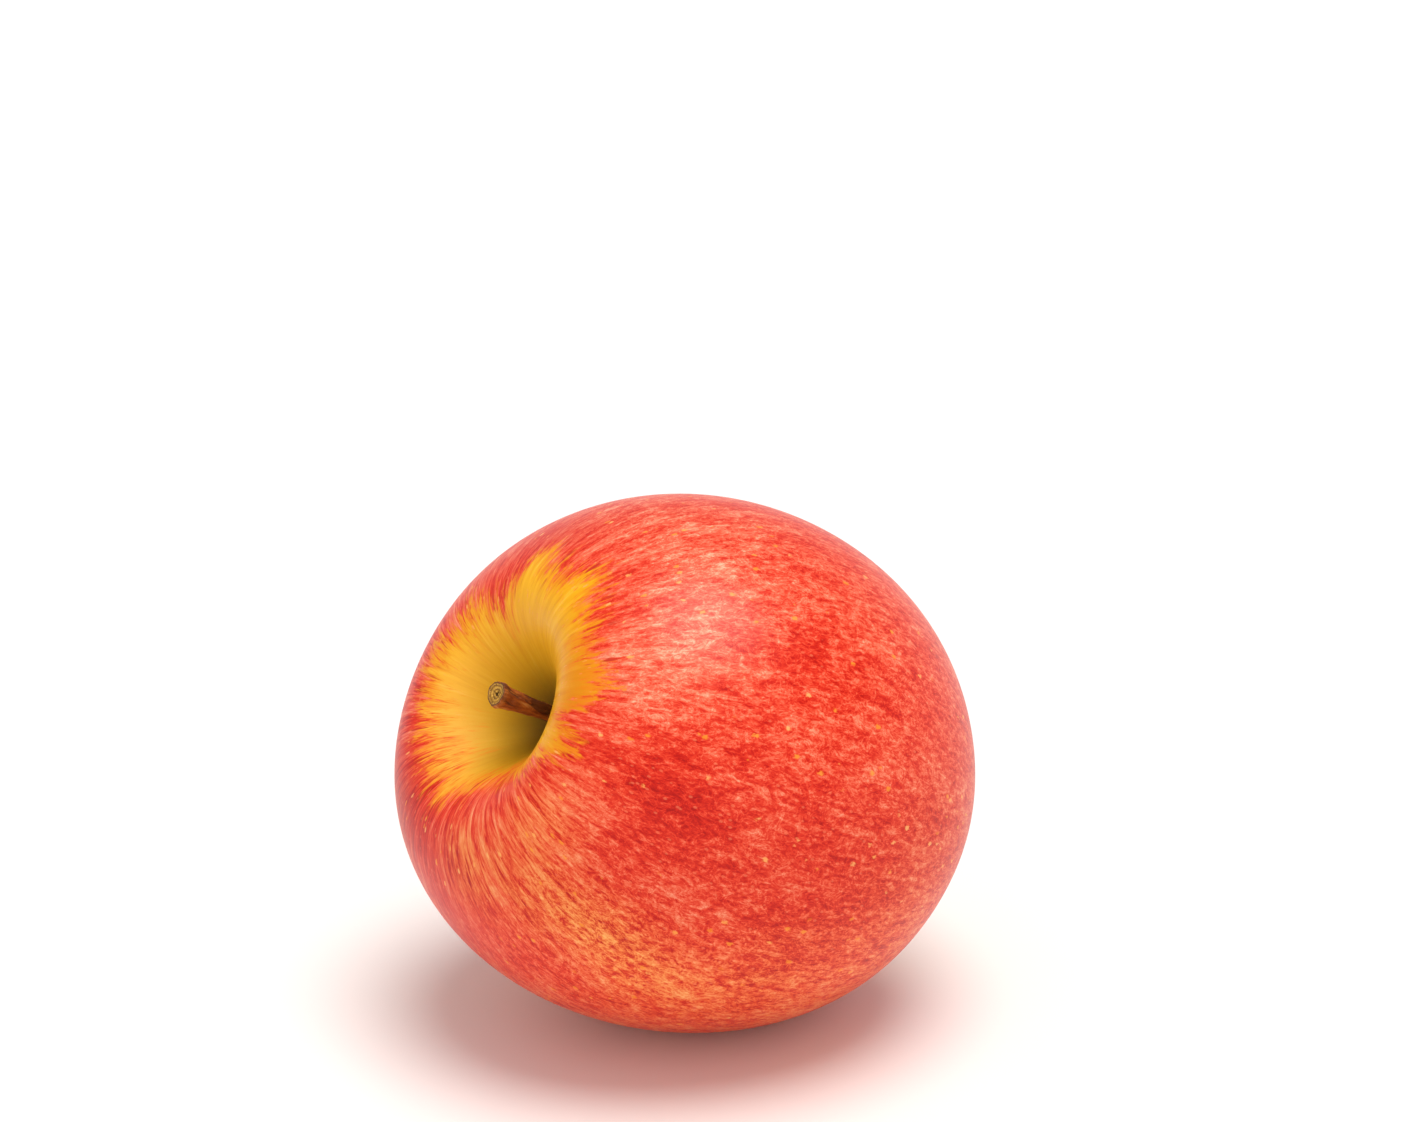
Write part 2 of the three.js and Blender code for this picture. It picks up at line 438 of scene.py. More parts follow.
    def plus(self, first: Input, second: Input) -> Socket:
        """Adds two numbers."""
        return self.reckon(Sum.PLUS, first, second)

    def minus(self, first: Input, second: Input) -> Socket:
        """Takes the second number from the first."""
        return self.reckon(Sum.MINUS, first, second)

    def times(self, first: Input, second: Input) -> Socket:
        """Multiplies two numbers."""
        return self.reckon(Sum.TIMES, first, second)

    def weighed(
        self, values: Sequence[Socket], weights: Sequence[Input], start: Input = 0.0
    ) -> Socket:
        """Adds up numbers by their weights.

        Args:
            values: the numbers.
            weights: the weight of each.
            start: what they are added to.

        Returns:
            The start and each number times its weight, all added.
        """
        for value, weight in zip(values, weights):
            start = self.reckon(Sum.TIMES_PLUS, value, weight, start)
        return start

    def between(self, share: Input, first: Input, second: Input) -> Socket:
        """Returns a number slid from the first to the second by a share from 0 to 1."""
        left, right, result = self.MIX_NUMBERS
        return self.node("Mix", {0: share, left: first, right: second}).outputs[result]

    def lay(self, share: Input, under: Input, over: Input) -> Socket:
        """Lays one colour over another.

        Args:
            share: how much of the upper colour covers the lower one, from 0 to 1.
            under: the lower colour.
            over: the upper colour.

        Returns:
            The mixed colour.
        """
        left, right, result = self.MIX_COLOURS
        inputs = {0: share, left: under, right: over}
        return self.node("Mix", inputs, data_type="RGBA").outputs[result]

    def ramp(self, value: Socket, stops: Stops) -> Socket:
        """Turns a number into a colour.

        Args:
            value: the number, from 0 to 1.
            stops: numbers and the codes of their colours, in rising order.

        Returns:
            The colour, mixed from the two stops that the number lies between.
        """
        node = self.node("ValToRGB", {"Fac": value})
        elements = node.color_ramp.elements
        for index, (at, code) in enumerate(stops):
            element = elements[index] if index < 2 else elements.new(at)
            element.position = at
            element.color = paint(code)
        return node.outputs["Color"]

    def relief(self, height: Socket, depth: float, under: Optional[Socket] = None) -> Socket:
        """Turns a height into a normal.

        Args:
            height: the height, from 0 to 1.
            depth: the real height of 1, in metres.
            under: the normal of a relief that this one lies on.

        Returns:
            The normal.
        """
        inputs = {"Height": height, "Distance": depth}
        if under is not None:
            inputs["Normal"] = under
        return self.node("Bump", inputs).outputs["Normal"]


# ---------------------------------------------------------------- the shape of the fruit


@dataclass(frozen=True)
class Hollow:
    """A funnel at one end of the core: depth * exp(-(distance / width) ** steepness)."""

    depth: float
    width: float
    steepness: float

    def at(self, distance: Array) -> Array:
        """Returns how deep the funnel is at a distance from the core."""
        return self.depth * np.exp(-((distance / self.width) ** self.steepness))


class End(Enum):
    """The two ends of the core, and the colatitude of each in radians."""

    STEM = 0.0
    CALYX = math.pi


@dataclass(frozen=True)
class FruitForm:
    """The fruit's outside in the upright frame, and where its stem and calyx grow."""

    girth_radius: float = 37.2 * MM
    half_height: float = 39.7 * MM
    top_heaviness: float = 0.038
    shoulder_squareness: float = 0.05
    shoulder_slant: float = 0.09
    shoulder_slant_at: float = 145.0
    girth_ovalness: float = 0.0085
    girth_ovalness_at: float = -44.5
    lobes: int = 5
    lobe_swell: float = 0.006
    stem_cavity: Hollow = Hollow(17.0 * MM, 11.0 * MM, 1.9)
    calyx_basin: Hollow = Hollow(11.5 * MM, 8.5 * MM, 1.9)
    crown_rise: float = 0.5 * MM
    crown_radius: float = 12.0 * MM
    crown_width: float = 5.0 * MM
    puckers_per_lobe: int = 3
    pucker_depth: float = 0.28 * MM
    pucker_radius: float = 5.5 * MM
    pucker_width: float = 3.2 * MM
    pucker_phase: float = 1.0
    tube_depth: float = 4.6 * MM
    tube_mouth: float = 2.6 * MM
    tube_floor: float = 1.7 * MM
    swell: Waves = Waves(seed=7, count=14, low=60.0, high=150.0)
    swell_height: float = 0.16 * MM
    core_steps: int = 4001

    def round_at(self, colatitude: Array) -> Array:
        """Works out the radius of the plain turned form.

        Formula: girth_radius * sin(colatitude), made larger towards the stem end by top_heaviness
        and towards both ends by shoulder_squareness.

        Args:
            colatitude: angle from the stem end, in radians.

        Returns:
            The radius at each colatitude.
        """
        c = np.cos(colatitude)
        swelling = 1.0 + self.top_heaviness * c + self.shoulder_squareness * c * c
        return self.girth_radius * np.sin(colatitude) * swelling

    def outside(self, colatitude: Array, longitude: Array) -> Array:
        """Works out points of the skin, without the calyx tube.

        Formula: a turned form of radius round_at and height half_height * cos(colatitude), with a
        funnel sunk in each end, the girth made slightly oval and five-lobed, the stem-end shoulder
        slanted, and knobs and puckers round the calyx basin.

        Args:
            colatitude: angle from the stem end, in radians.
            longitude: angle round the core, in radians, that broadcasts with colatitude.

        Returns:
            The points, shaped (..., 3).
        """
        c = np.cos(colatitude)
        s = np.sin(colatitude)
        lowness = (1.0 - c) / 2.0
        plain = self.round_at(colatitude)
        lobe_turn = self.lobes * longitude
        lobed = self.lobe_swell * lowness**2 * np.cos(lobe_turn)
        oval_turn = longitude - math.radians(self.girth_ovalness_at)
        oval = self.girth_ovalness * s * s * np.cos(2.0 * oval_turn)
        radius = plain * (1.0 + lobed + oval)
        slant_turn = longitude - math.radians(self.shoulder_slant_at)
        slant = self.shoulder_slant * (1.0 - lowness) * np.cos(slant_turn)
        crown = self.crown_rise * bell(plain, self.crown_radius, self.crown_width)
        pucker = self.pucker_depth * bell(plain, self.pucker_radius, self.pucker_width)
        pucker_turn = self.puckers_per_lobe * lobe_turn + self.pucker_phase
        knobs = crown * np.cos(lobe_turn) + pucker * np.cos(pucker_turn)
        height = (
            self.half_height * c
            - self.stem_cavity.at(plain) * np.maximum(c, 0.0)
            + (self.calyx_basin.at(plain) - knobs) * np.maximum(-c, 0.0)
            + slant * radius
        )
        return grid_points(radius * np.cos(longitude), radius * np.sin(longitude), height)

    def near_core(self, distance: float, longitude: float, end: End) -> Array:
        """Finds the skin point at a distance from the core, at one end of the fruit.

        Args:
            distance: distance from the core.
            longitude: angle round the core, in radians.
            end: which end.

        Returns:
            The point, in the upright frame.
        """
        off = np.linspace(0.0, 0.5 * math.pi, self.core_steps)
        points = self.outside(np.abs(end.value - off), np.full(off.shape, longitude))
        reach = np.hypot(points[:, 0], points[:, 1])
        return points[int(np.argmax(reach >= distance))]


@dataclass(frozen=True)
class Lying:
    """How the upright apple is laid on its cheek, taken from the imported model's own box."""

    form: FruitForm
    core_tilt: float = 25.6
    probe: int = 361

    def turn(self) -> Array:
        """Returns the rotation matrix that tips the core over towards -X."""
        return np.array(Matrix.Rotation(-math.radians(90.0 - self.core_tilt), 3, "Y"))

    @cached_property
    def middle(self) -> Array:
        """Works out where the upright frame's origin lies.

        Returns:
            The place that centres the form on the fruit's packed box, with its top at the box's.
        """
        colatitude = np.linspace(0.0, math.pi, self.probe)[:, None]
        longitude = np.linspace(0.0, FULL_TURN, 2 * self.probe)[None, :]
        turned = (self.form.outside(colatitude, longitude) @ self.turn().T).reshape(-1, 3)
        low, high = (np.array(corner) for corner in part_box("fruit"))
        centred = (low + high - turned.min(0) - turned.max(0)) / 2.0
        return np.array([centred[0], centred[1], high[2] - turned[:, 2].max()])

    def down(self, points: Array) -> Array:
        """Returns points of the upright frame carried to where the apple lies."""
        return points @ self.turn().T + self.middle


# ---------------------------------------------------------------- the fruit


@dataclass(frozen=True)
class Patch:
    """A soft-edged area of the skin: an ellipse on longitude and colatitude, in degrees."""

    longitude: float
    colatitude: float
    wide: float
    long: float
    strength: float

    def at(self, longitude: Array, colatitude: Array) -> Array:
        """Works out the patch's strength: a bell over the longitude and colatitude.

        Args:
            longitude: longitudes in degrees.
            colatitude: colatitudes in degrees.

        Returns:
            The strength at each place.
        """
        across = turn_between(longitude, self.longitude) / self.wide
        along = (colatitude - self.colatitude) / self.long
        return self.strength * np.exp(-(across**2 + along**2))


def patch_sum(
    patches: Sequence[Patch], longitude: Array, colatitude: Array, most: float = 1.0
) -> Array:
    """Returns the strengths of patches, added up and held to a most, at places in degrees."""
    return np.minimum(sum(patch.at(longitude, colatitude) for patch in patches), most)


@dataclass(frozen=True)
class SkinFinish:
    """The waxy skin: gold round the stem cavity, coral red with pale streaks and grain elsewhere.

    Its clouds are read along "roll", the skin rolled out as a tube: two axes round the fruit and
    one along it. A pair of numbers named "_by_place" holds near the stem and on the cheek.
    """

    name: str = "apple_skin"
    # The grain: streaks, blotches and flecks, and how much of each there is.
    streak: Cloud = Cloud((900, 900, 175), detail=4.0, roughness=0.62, distortion=0.7)
    blotch: Cloud = Cloud((560, 560, 240), (7.0, 0.0, 2.0), 5.0, 0.70, 0.9)
    fleck: Cloud = Cloud((1450, 1450, 700), (3.1, 1.7, 9.2), 3.0, 0.62, 0.6)
    stem_mix: Triple = (0.66, 0.24, 0.10)
    cheek_mix: Triple = (0.22, 0.42, 0.36)
    contrast_by_place: Pair = (2.25, 2.16)
    # The net of pale veins.
    vein: Cloud = Cloud((420, 420, 300), (2.0, 6.0, 1.0), 3.0, 0.58, 2.2)
    fine_vein: Cloud = Cloud((860, 860, 620), (9.0, 3.0, 4.0), 2.0, 0.55, 2.0)
    vein_widths: Pair = (0.060, 0.075)
    vein_mix: Pair = (0.55, 0.45)
    vein_level: float = 0.30
    veins_by_place: Pair = (0.05, 0.29)
    # The red blush.
    band: Cloud = Cloud((260, 260, 50), (5.0, 2.0, 0.0), 3.0, 0.55, 0.4)
    shade: Cloud = Cloud((110, 110, 70), (1.0, 7.0, 3.0), 2.0)
    bands_by_place: Pair = (0.60, 0.26)
    shade_depth: float = 0.20
    blush: Stops = (
        (0.08, "#aa0800"), (0.26, "#c61606"), (0.44, "#df2e16"), (0.56, "#ea4a2e"),
        (0.68, "#ee6648"), (0.84, "#f48a68"), (1.00, "#fcb896"),
    )
    honey: Stops = ((0.36, "#ee7230"), (0.62, "#f39448"), (0.86, "#f9b464"))
    honey_grain: Pair = (0.24, 0.72)
    rose: str = "#c8302c"
    # The gold, what tints it, and the ragged edge where it meets the red.
    ray: Cloud = Cloud((420, 420, 80), (2.0, 4.0, 0.0), 4.0, 0.62, 0.8)
    gold_rays: Stops = ((0.30, "#e69a04"), (0.46, "#f0aa08"), (0.58, "#f5b216"), (0.76, "#fcc446"))
    # The last tint is painted shade deep in the stem cavity, and russet brown round the calyx tube.
    gold_tints: tuple[tuple[str, str], ...] = (
        ("amber", "#d87808"), ("straw", "#f6b84e"), ("ochre", "#c09006"), ("painted_shade_and_russet", "#4a2e00"),
    )
    tongue: Cloud = Cloud((300, 300, 105), (8.0, 1.0, 0.0), 4.0, 0.62, 1.0)
    fringe: Cloud = Cloud((900, 900, 300), (1.0, 5.0, 6.0), 4.0, 0.66, 0.9)
    edge_mix: Pair = (2.8, 4.2)
    edge_cover: Pair = (-0.60, 0.50)
    edge_glow: Pair = (-1.5, 0.0)
    edge_glow_share: float = 0.70
    edge_orange: str = "#ea7a08"
    dash: Cloud = Cloud((640, 640, 170), (0.0, 9.0, 4.0), 2.0)
    dash_edge: Pair = (0.63, 0.71)
    dash_red: str = "#c8321a"
    # The breathing dots: large ones, of which some are left out, and small pale ones.
    dots_per_metre: Triple = (410, 410, 300)
    dots_shift: Triple = (0.0, 0.0, 0.0)
    dot_wobble: Cloud = Cloud((3100, 3100, 2300), detail=1.0)
    dot_wobble_depth: float = 0.24
    dot_edge: Pair = (0.17, 0.07)
    dots_kept: Pair = (0.18, 0.30)
    dot_warmth: Stops = ((0.26, "#f28a1c"), (0.52, "#f79a34"), (0.78, "#fdb468"))
    dot_share: float = 0.82
    specks_per_metre: Triple = (900, 900, 620)
    specks_shift: Triple = (4.0, 4.0, 1.0)
    speck_edge: Pair = (0.22, 0.11)
    speck_colour: str = "#f98c62"
    speck_share: float = 0.35
    # The wax: its relief, and its gloss, which fades down the cavity with the ochre.
    pore: Cloud = Cloud((2600, 2600, 2600), roughness=0.6)
    dimple: Cloud = Cloud((420, 420, 420), detail=2.0)
    smear: Cloud = Cloud((900, 900, 900), roughness=0.6)
    pore_depth: float = 0.012 * MM
    dimple_depth: float = 0.05 * MM
    dot_depth: float = 0.03 * MM
    roughness: float = 0.38
    smear_swing: float = 0.16
    cavity_roughness: float = 0.40
    coat: float = 0.12
    coat_end: float = 0.45
    coat_roughness: float = 0.22
    refraction: float = 1.25
    flesh_glow: float = 0.06
    flesh_reach: Triple = (1.0, 0.35, 0.18)
    flesh_depth: float = 1.0 * MM

    def by_place(self, g: Graph, pair: Sequence[Input]) -> Socket:
        """Returns a number that slides from one near the stem to another on the cheek."""
        return g.between(g.attribute("grain"), *pair)

    def veins(self, g: Graph, roll: Socket) -> Socket:
        """Works out a curly net of thin pale lines.

        Formula: each of two clouds gives a line where it is at its middle, 1 there and 0 where the
        cloud is further from its middle than the line is wide.

        Args:
            g: the material.
            roll: the skin rolled out.

        Returns:
            The net, from 0 to 1.
        """
        lines = [
            g.fit(g.reckon(Sum.SIZE, g.swing(roll, cloud)), width, 0.0)
            for cloud, width in zip((self.vein, self.fine_vein), self.vein_widths)
        ]
        return g.weighed(lines, self.vein_mix)

    def grain(self, g: Graph, roll: Socket) -> Socket:
        """Works out the fine pale-and-red grain: long streaks near the stem, flecks on the cheek.

        Args:
            g: the material.
            roll: the skin rolled out.

        Returns:
            The grain, about 0.5, low where the skin is deep red.
        """
        clouds = [g.noise(roll, cloud) for cloud in (self.streak, self.blotch, self.fleck)]
        near, cheek = g.weighed(clouds, self.stem_mix), g.weighed(clouds, self.cheek_mix)
        joined = self.by_place(g, (near, cheek))
        contrast = self.by_place(g, self.contrast_by_place)
        spread = g.weighed([g.plus(joined, -0.5)], [contrast], 0.5)
        lines = g.plus(self.veins(g, roll), -self.vein_level)
        return g.weighed([lines], [self.by_place(g, self.veins_by_place)], spread)

    def red(self, g: Graph, roll: Socket, grain: Socket) -> Socket:
        """Works out the blushed skin's colour, from crimson through coral to salmon and peach.

        Args:
            g: the material.
            roll: the skin rolled out.
            grain: the grain.

        Returns:
            The colour.
        """
        swings = [g.swing(roll, self.band), g.swing(roll, self.shade)]
        weights = [self.by_place(g, self.bands_by_place), self.shade_depth]
        # Lifted by the skin's own pale areas, and by painted highlight round the real highlight.
        lightness_with_painted_highlight = g.plus(g.weighed(swings, weights), g.attribute("pale"))
        tone = g.plus(grain, g.minus(lightness_with_painted_highlight, g.attribute("deep")))
        return g.ramp(tone, self.blush)

    def gold(self, g: Graph, roll: Socket) -> Socket:
        """Works out the ground colour: gold with pale rays, ochre and painted shade down the
        cavity.

        Args:
            g: the material.
            roll: the skin rolled out.

        Returns:
            The colour.
        """
        gold = g.ramp(g.noise(roll, self.ray), self.gold_rays)
        for name, code in self.gold_tints:
            gold = g.lay(g.attribute(name), gold, paint(code))
        return gold

    def skin_colour(self, g: Graph, roll: Socket) -> Socket:
        """Works out the colour of the skin without its dots.

        Formula: the gold ends in a ragged edge, where the value "edge" and two clouds add up to
        about 0, and warms to orange there; the red beyond it is lit by honey and rose patches, and
        short red dashes lie across the edge.

        Args:
            g: the material.
            roll: the skin rolled out.

        Returns:
            The colour.
        """
        swings = [g.swing(roll, self.tongue), g.swing(roll, self.fringe)]
        reach = g.weighed(swings, self.edge_mix, g.attribute("edge"))
        grain = self.grain(g, roll)
        lit = g.times(g.attribute("glow"), g.fit(grain, *self.honey_grain))
        red = g.lay(lit, self.red(g, roll, grain), g.ramp(grain, self.honey))
        red = g.lay(g.attribute("rose"), red, paint(self.rose))
        orange = g.fit(reach, *self.edge_glow, 0.0, self.edge_glow_share)
        gold = g.lay(orange, self.gold(g, roll), paint(self.edge_orange))
        colour = g.lay(g.fit(reach, *self.edge_cover), gold, red)
        dashes = g.times(g.fit(g.noise(roll, self.dash), *self.dash_edge), g.attribute("speckle"))
        return g.lay(dashes, colour, paint(self.dash_red))

    def dots(self, g: Graph, roll: Socket, colour: Socket) -> tuple[Socket, Socket]:
        """Adds the pale breathing dots of the skin.

        Args:
            g: the material.
            roll: the skin rolled out.
            colour: the colour without dots.

        Returns:
            The colour with them, and the height of the large ones.
        """
        dotted = g.attribute("dotted")
        distance, random = g.cells(roll, self.dots_per_metre, self.dots_shift)
        ragged = g.weighed([g.swing(roll, self.dot_wobble)], [self.dot_wobble_depth], distance)
        dot = g.times(g.fit(ragged, *self.dot_edge), g.fit(random, *self.dots_kept))
        dot = g.times(dot, dotted)
        distance, _ = g.cells(roll, self.specks_per_metre, self.specks_shift)
        speck = g.times(g.times(g.fit(distance, *self.speck_edge), dotted), self.speck_share)
        colour = g.lay(speck, colour, paint(self.speck_colour))
        return g.lay(g.times(dot, self.dot_share), colour, g.ramp(random, self.dot_warmth)), dot

    def make(self) -> bpy.types.Material:
        """Builds the skin material.

        Returns:
            The material.
        """
        g = Graph(self.name)
        roll, place, ochre = g.vector_attribute("roll"), g.place(), g.attribute("ochre")
        colour, dot = self.dots(g, roll, self.skin_colour(g, roll))
        relief = g.relief(dot, self.dot_depth)
        relief = g.relief(g.noise(place, self.dimple), self.dimple_depth, relief)
        relief = g.relief(g.noise(place, self.pore), self.pore_depth, relief)
        swings = [g.swing(place, self.smear), ochre]
        gloss = g.weighed(swings, (self.smear_swing, self.cavity_roughness), self.roughness)
        return g.surface(
            Base_Color=colour, Roughness=gloss, Normal=relief, IOR=self.refraction,
            Coat_Weight=g.fit(ochre, 0.0, self.coat_end, self.coat, 0.0),
            Coat_Roughness=self.coat_roughness, Subsurface_Weight=self.flesh_glow,
            Subsurface_Radius=self.flesh_reach, Subsurface_Scale=self.flesh_depth,
        )


@dataclass(frozen=True)
class Fruit:
    """The fruit: its surface, and the broad pattern of its colours as values on the surface."""

    form: FruitForm
    lying: Lying
    ring_count: int = 240
    side_count: int = 384
    end_crowding: float = 0.55
    flat_softness: float = 0.05 * MM
    finish: SkinFinish = SkinFinish()
    # Pale areas of the skin; those at longitudes -44, -10 and -66 are also painted highlight.
    pale_and_painted_highlight_patches: tuple[Patch, ...] = (
        Patch(-44, 52, 26, 18, 0.12), Patch(-52, 92, 30, 26, 0.05), Patch(-10, 58, 36, 18, 0.11),
        Patch(10, 80, 50, 24, 0.05), Patch(-66, 42, 16, 11, 0.14), Patch(-104, 38, 14, 9, 0.09),
        Patch(170, 48, 40, 18, 0.04), Patch(95, 70, 40, 25, 0.03),
    )
    deep_patches: tuple[Patch, ...] = (
        Patch(-87, 47, 10, 8, 0.17), Patch(-92, 57, 12, 9, 0.15), Patch(-50, 74, 16, 10, 0.06),
        Patch(-108, 94, 34, 16, 0.08), Patch(120, 62, 30, 24, 0.06), Patch(40, 95, 40, 30, 0.05),
        Patch(150, 30, 20, 9, 0.12), Patch(-150, 50, 16, 14, 0.05), Patch(165, 45, 20, 20, 0.10),
    )
    straw_patches: tuple[Patch, ...] = (Patch(135, 15, 60, 9, 0.8),)
    amber_patches: tuple[Patch, ...] = (Patch(-68, 27, 30, 7, 0.75), Patch(-165, 18, 16, 6, 0.4))
    rose_patches: tuple[Patch, ...] = (
        Patch(148, 34, 24, 15, 0.50), Patch(-178, 52, 14, 18, 0.35), Patch(60, 120, 60, 25, 0.15),
        Patch(20, 38, 14, 7, 0.25),
    )
    rose_most: float = 0.6
    glow_patches: tuple[Patch, ...] = (
        Patch(-128, 57, 9, 12, 0.70), Patch(-133, 73, 10, 14, 0.70), Patch(-122, 92, 12, 14, 0.35),
        Patch(-154, 33, 13, 9, 0.80), Patch(-120, 34, 20, 9, 0.60), Patch(-136, 46, 12, 10, 0.50),
        Patch(175, 100, 45, 32, 0.7), Patch(150, 62, 12, 30, 0.5), Patch(88, 112, 22, 30, 0.4),
        Patch(-120, 120, 40, 18, 0.35),
    )
    # The gold star round the stem: how far its edge reaches down, by longitude, in degrees.
    star_edge: tuple[Pair, ...] = (
        (-171, 17), (-155, 14), (-138, 14), (-115, 19), (-100, 23), (-94, 27), (-89, 31), (-83, 29),
        (-77, 25), (-71, 30), (-66, 34), (-56, 32), (-47, 29), (-32, 32), (-20, 36), (-12, 33),
        (-6, 31), (4, 31), (13, 34), (18, 31), (23, 25), (32, 22), (43, 24), (54, 26), (65, 24),
        (79, 26), (92, 26), (108, 22), (131, 21), (150, 19), (160, 20), (172, 23),
    )
    star_softness: float = 6.0
    # The gold round the calyx: where it starts, its three scallops, and its softness, in degrees.
    calyx_gold: float = 163.0
    calyx_scallops: float = 4.0
    calyx_softness: float = 9.0
    edge_most: float = 3.0
    # The cheek's mottling takes over from the streaks between these colatitudes, on a slanted line.
    mottling: Pair = (24.0, 62.0)
    mottling_slant: float = 12.0
    mottling_slant_at: float = 0.9
    # Between these distances from the core the cavity turns ochre and, deeper in, darker with
    # painted shade; the basin turns russet brown likewise.
    ochre_reach: Pair = (4.5 * MM, 13.0 * MM)
    painted_shade_reach: Pair = (1.5 * MM, 8.0 * MM)
    cavity_share: float = 0.85
    basin_reach: Pair = (2.2 * MM, 5.0 * MM)
    basin_share: float = 0.8
    # Where the red dashes lie, from inside the star's edge to outside it, in degrees.
    speckle_rise: Pair = (-9.0, -1.0)
    speckle_fall: Pair = (2.0, 8.0)
    # Where the breathing dots start and where they end, in degrees of colatitude.
    dots_rise: Pair = (8.0, 26.0)
    dots_fall: Pair = (150.0, 170.0)

    def colatitudes(self) -> Array:
        """Returns the rings' colatitudes in radians: even steps, crowded by a sine at both ends."""
        even = np.linspace(0.0, 1.0, self.ring_count + 2)[1:-1]
        return math.pi * (even - self.end_crowding * np.sin(FULL_TURN * even) / FULL_TURN)

    def surface(self, colatitude: Array, longitude: Array) -> Array:
        """Works out points of the skin with the calyx tube and a faint unevenness, upright.

        Formula: the outside, raised at the bottom of the basin by a smooth step of tube_depth, and
        drawn in towards the middle by the waves of swell, which fade at both ends.

        Args:
            colatitude: angle from the stem end, in radians.
            longitude: angle round the core, in radians, that broadcasts with colatitude.

        Returns:
            The points, shaped (..., 3).
        """
        form = self.form
        points = form.outside(colatitude, longitude)
        reach = np.hypot(points[..., 0], points[..., 1])
        tube = 1.0 - smoothstep(form.tube_floor, form.tube_mouth, reach)
        points[..., 2] += form.tube_depth * tube * (colatitude > math.pi / 2)
        uneven = form.swell_height * (form.swell.at(points) - 1.0) * np.sin(colatitude) ** 2
        outward = points / np.linalg.norm(points, axis=-1, keepdims=True)
        return points + outward * uneven[..., None]

    def rest(self, points: Array) -> Array:
        """Flattens the cheek where it rests.

        Formula: a height h becomes s * log(1 + exp(h / s)) with s the softness, which leaves
        heights above the table alone and eases those below onto it.

        Args:
            points: points where the apple lies.

        Returns:
            The eased points.
        """
        eased = points.copy()
        eased[..., 2] = self.flat_softness * np.logaddexp(0.0, points[..., 2] / self.flat_softness)
        return eased

    def colour_values(self, colatitude: Array, longitude: Array, along: Array) -> dict[str, Array]:
        """Works out the broad pattern of the skin.

        Args:
            colatitude: the rings' colatitudes in degrees, shaped (rings, 1).
            longitude: the sides' longitudes in degrees, shaped (1, sides).
            along: distance along the skin from the stem end, shaped (rings, sides).

        Returns:
            One value for each point of the grid, by attribute name.
        """
        lat, lon = np.broadcast_arrays(colatitude, longitude)
        radians = np.radians(lon)
        radius = self.form.round_at(np.radians(lat))
        girth = self.form.girth_radius
        turns, reaches = np.array(self.star_edge).T
        past_star = lat - np.interp(lon, turns, reaches, period=360.0)
        scallops = self.calyx_scallops * np.cos(3.0 * radians)
        before_calyx = self.calyx_gold + scallops - lat
        edge = np.minimum(past_star / self.star_softness, before_calyx / self.calyx_softness)
        slant = self.mottling_slant * np.cos(radians + self.mottling_slant_at)
        cavity = (lat < 90.0) * self.cavity_share
        basin = (lat >= 90.0) * self.basin_share
        return {
            "roll": grid_points(girth * np.cos(radians), girth * np.sin(radians), along),
            "edge": np.clip(edge, -self.edge_most, self.edge_most),
            "grain": smoothstep(*self.mottling, lat + slant),
            # Pale skin, and painted highlight on the upper cheek.
            "pale": patch_sum(self.pale_and_painted_highlight_patches, lon, lat),
            "deep": patch_sum(self.deep_patches, lon, lat),
            "rose": patch_sum(self.rose_patches, lon, lat, self.rose_most),
            "glow": patch_sum(self.glow_patches, lon, lat),
            "amber": patch_sum(self.amber_patches, lon, lat),
            "straw": patch_sum(self.straw_patches, lon, lat),
            "ochre": cavity * (1.0 - smoothstep(*self.ochre_reach, radius)),
            # Painted shade deep in the stem cavity, and russet brown round the calyx tube.
            "painted_shade_and_russet": cavity * (1.0 - smoothstep(*self.painted_shade_reach, radius))
            + basin * (1.0 - smoothstep(*self.basin_reach, radius)),
            "speckle": (lat < 90.0)
            * smoothstep(*self.speckle_rise, past_star)
            * (1.0 - smoothstep(*self.speckle_fall, past_star)),
            "dotted": smoothstep(*self.dots_rise, lat) * (1.0 - smoothstep(*self.dots_fall, lat)),
        }

    def build(self) -> bpy.types.Object:
        """Builds and dresses the fruit.

        Returns:
            The fruit.
        """
        colatitude = self.colatitudes()[:, None]
        longitude = round_angles(self.side_count)
        upright = self.surface(colatitude, longitude)
        ends = self.surface(np.array([End.STEM.value, End.CALYX.value]), np.zeros(2))
        start = np.broadcast_to(ends[0], upright[:1].shape)
        steps = np.linalg.norm(np.diff(upright, axis=0, prepend=start), axis=-1)
        along = np.cumsum(steps, axis=0)
        values = self.colour_values(np.degrees(colatitude), np.degrees(longitude), along)
        end_values = {
            key: np.stack([value[0].mean(0), value[-1].mean(0)]) for key, value in values.items()
        }
        rings = self.rest(self.lying.down(upright))
        skin = Skin(rings, self.lying.down(ends), values, end_values)
        return hand_over(build_object("fruit_skin", [skin]), self.finish.make(), "fruit")


# ---------------------------------------------------------------- the stem


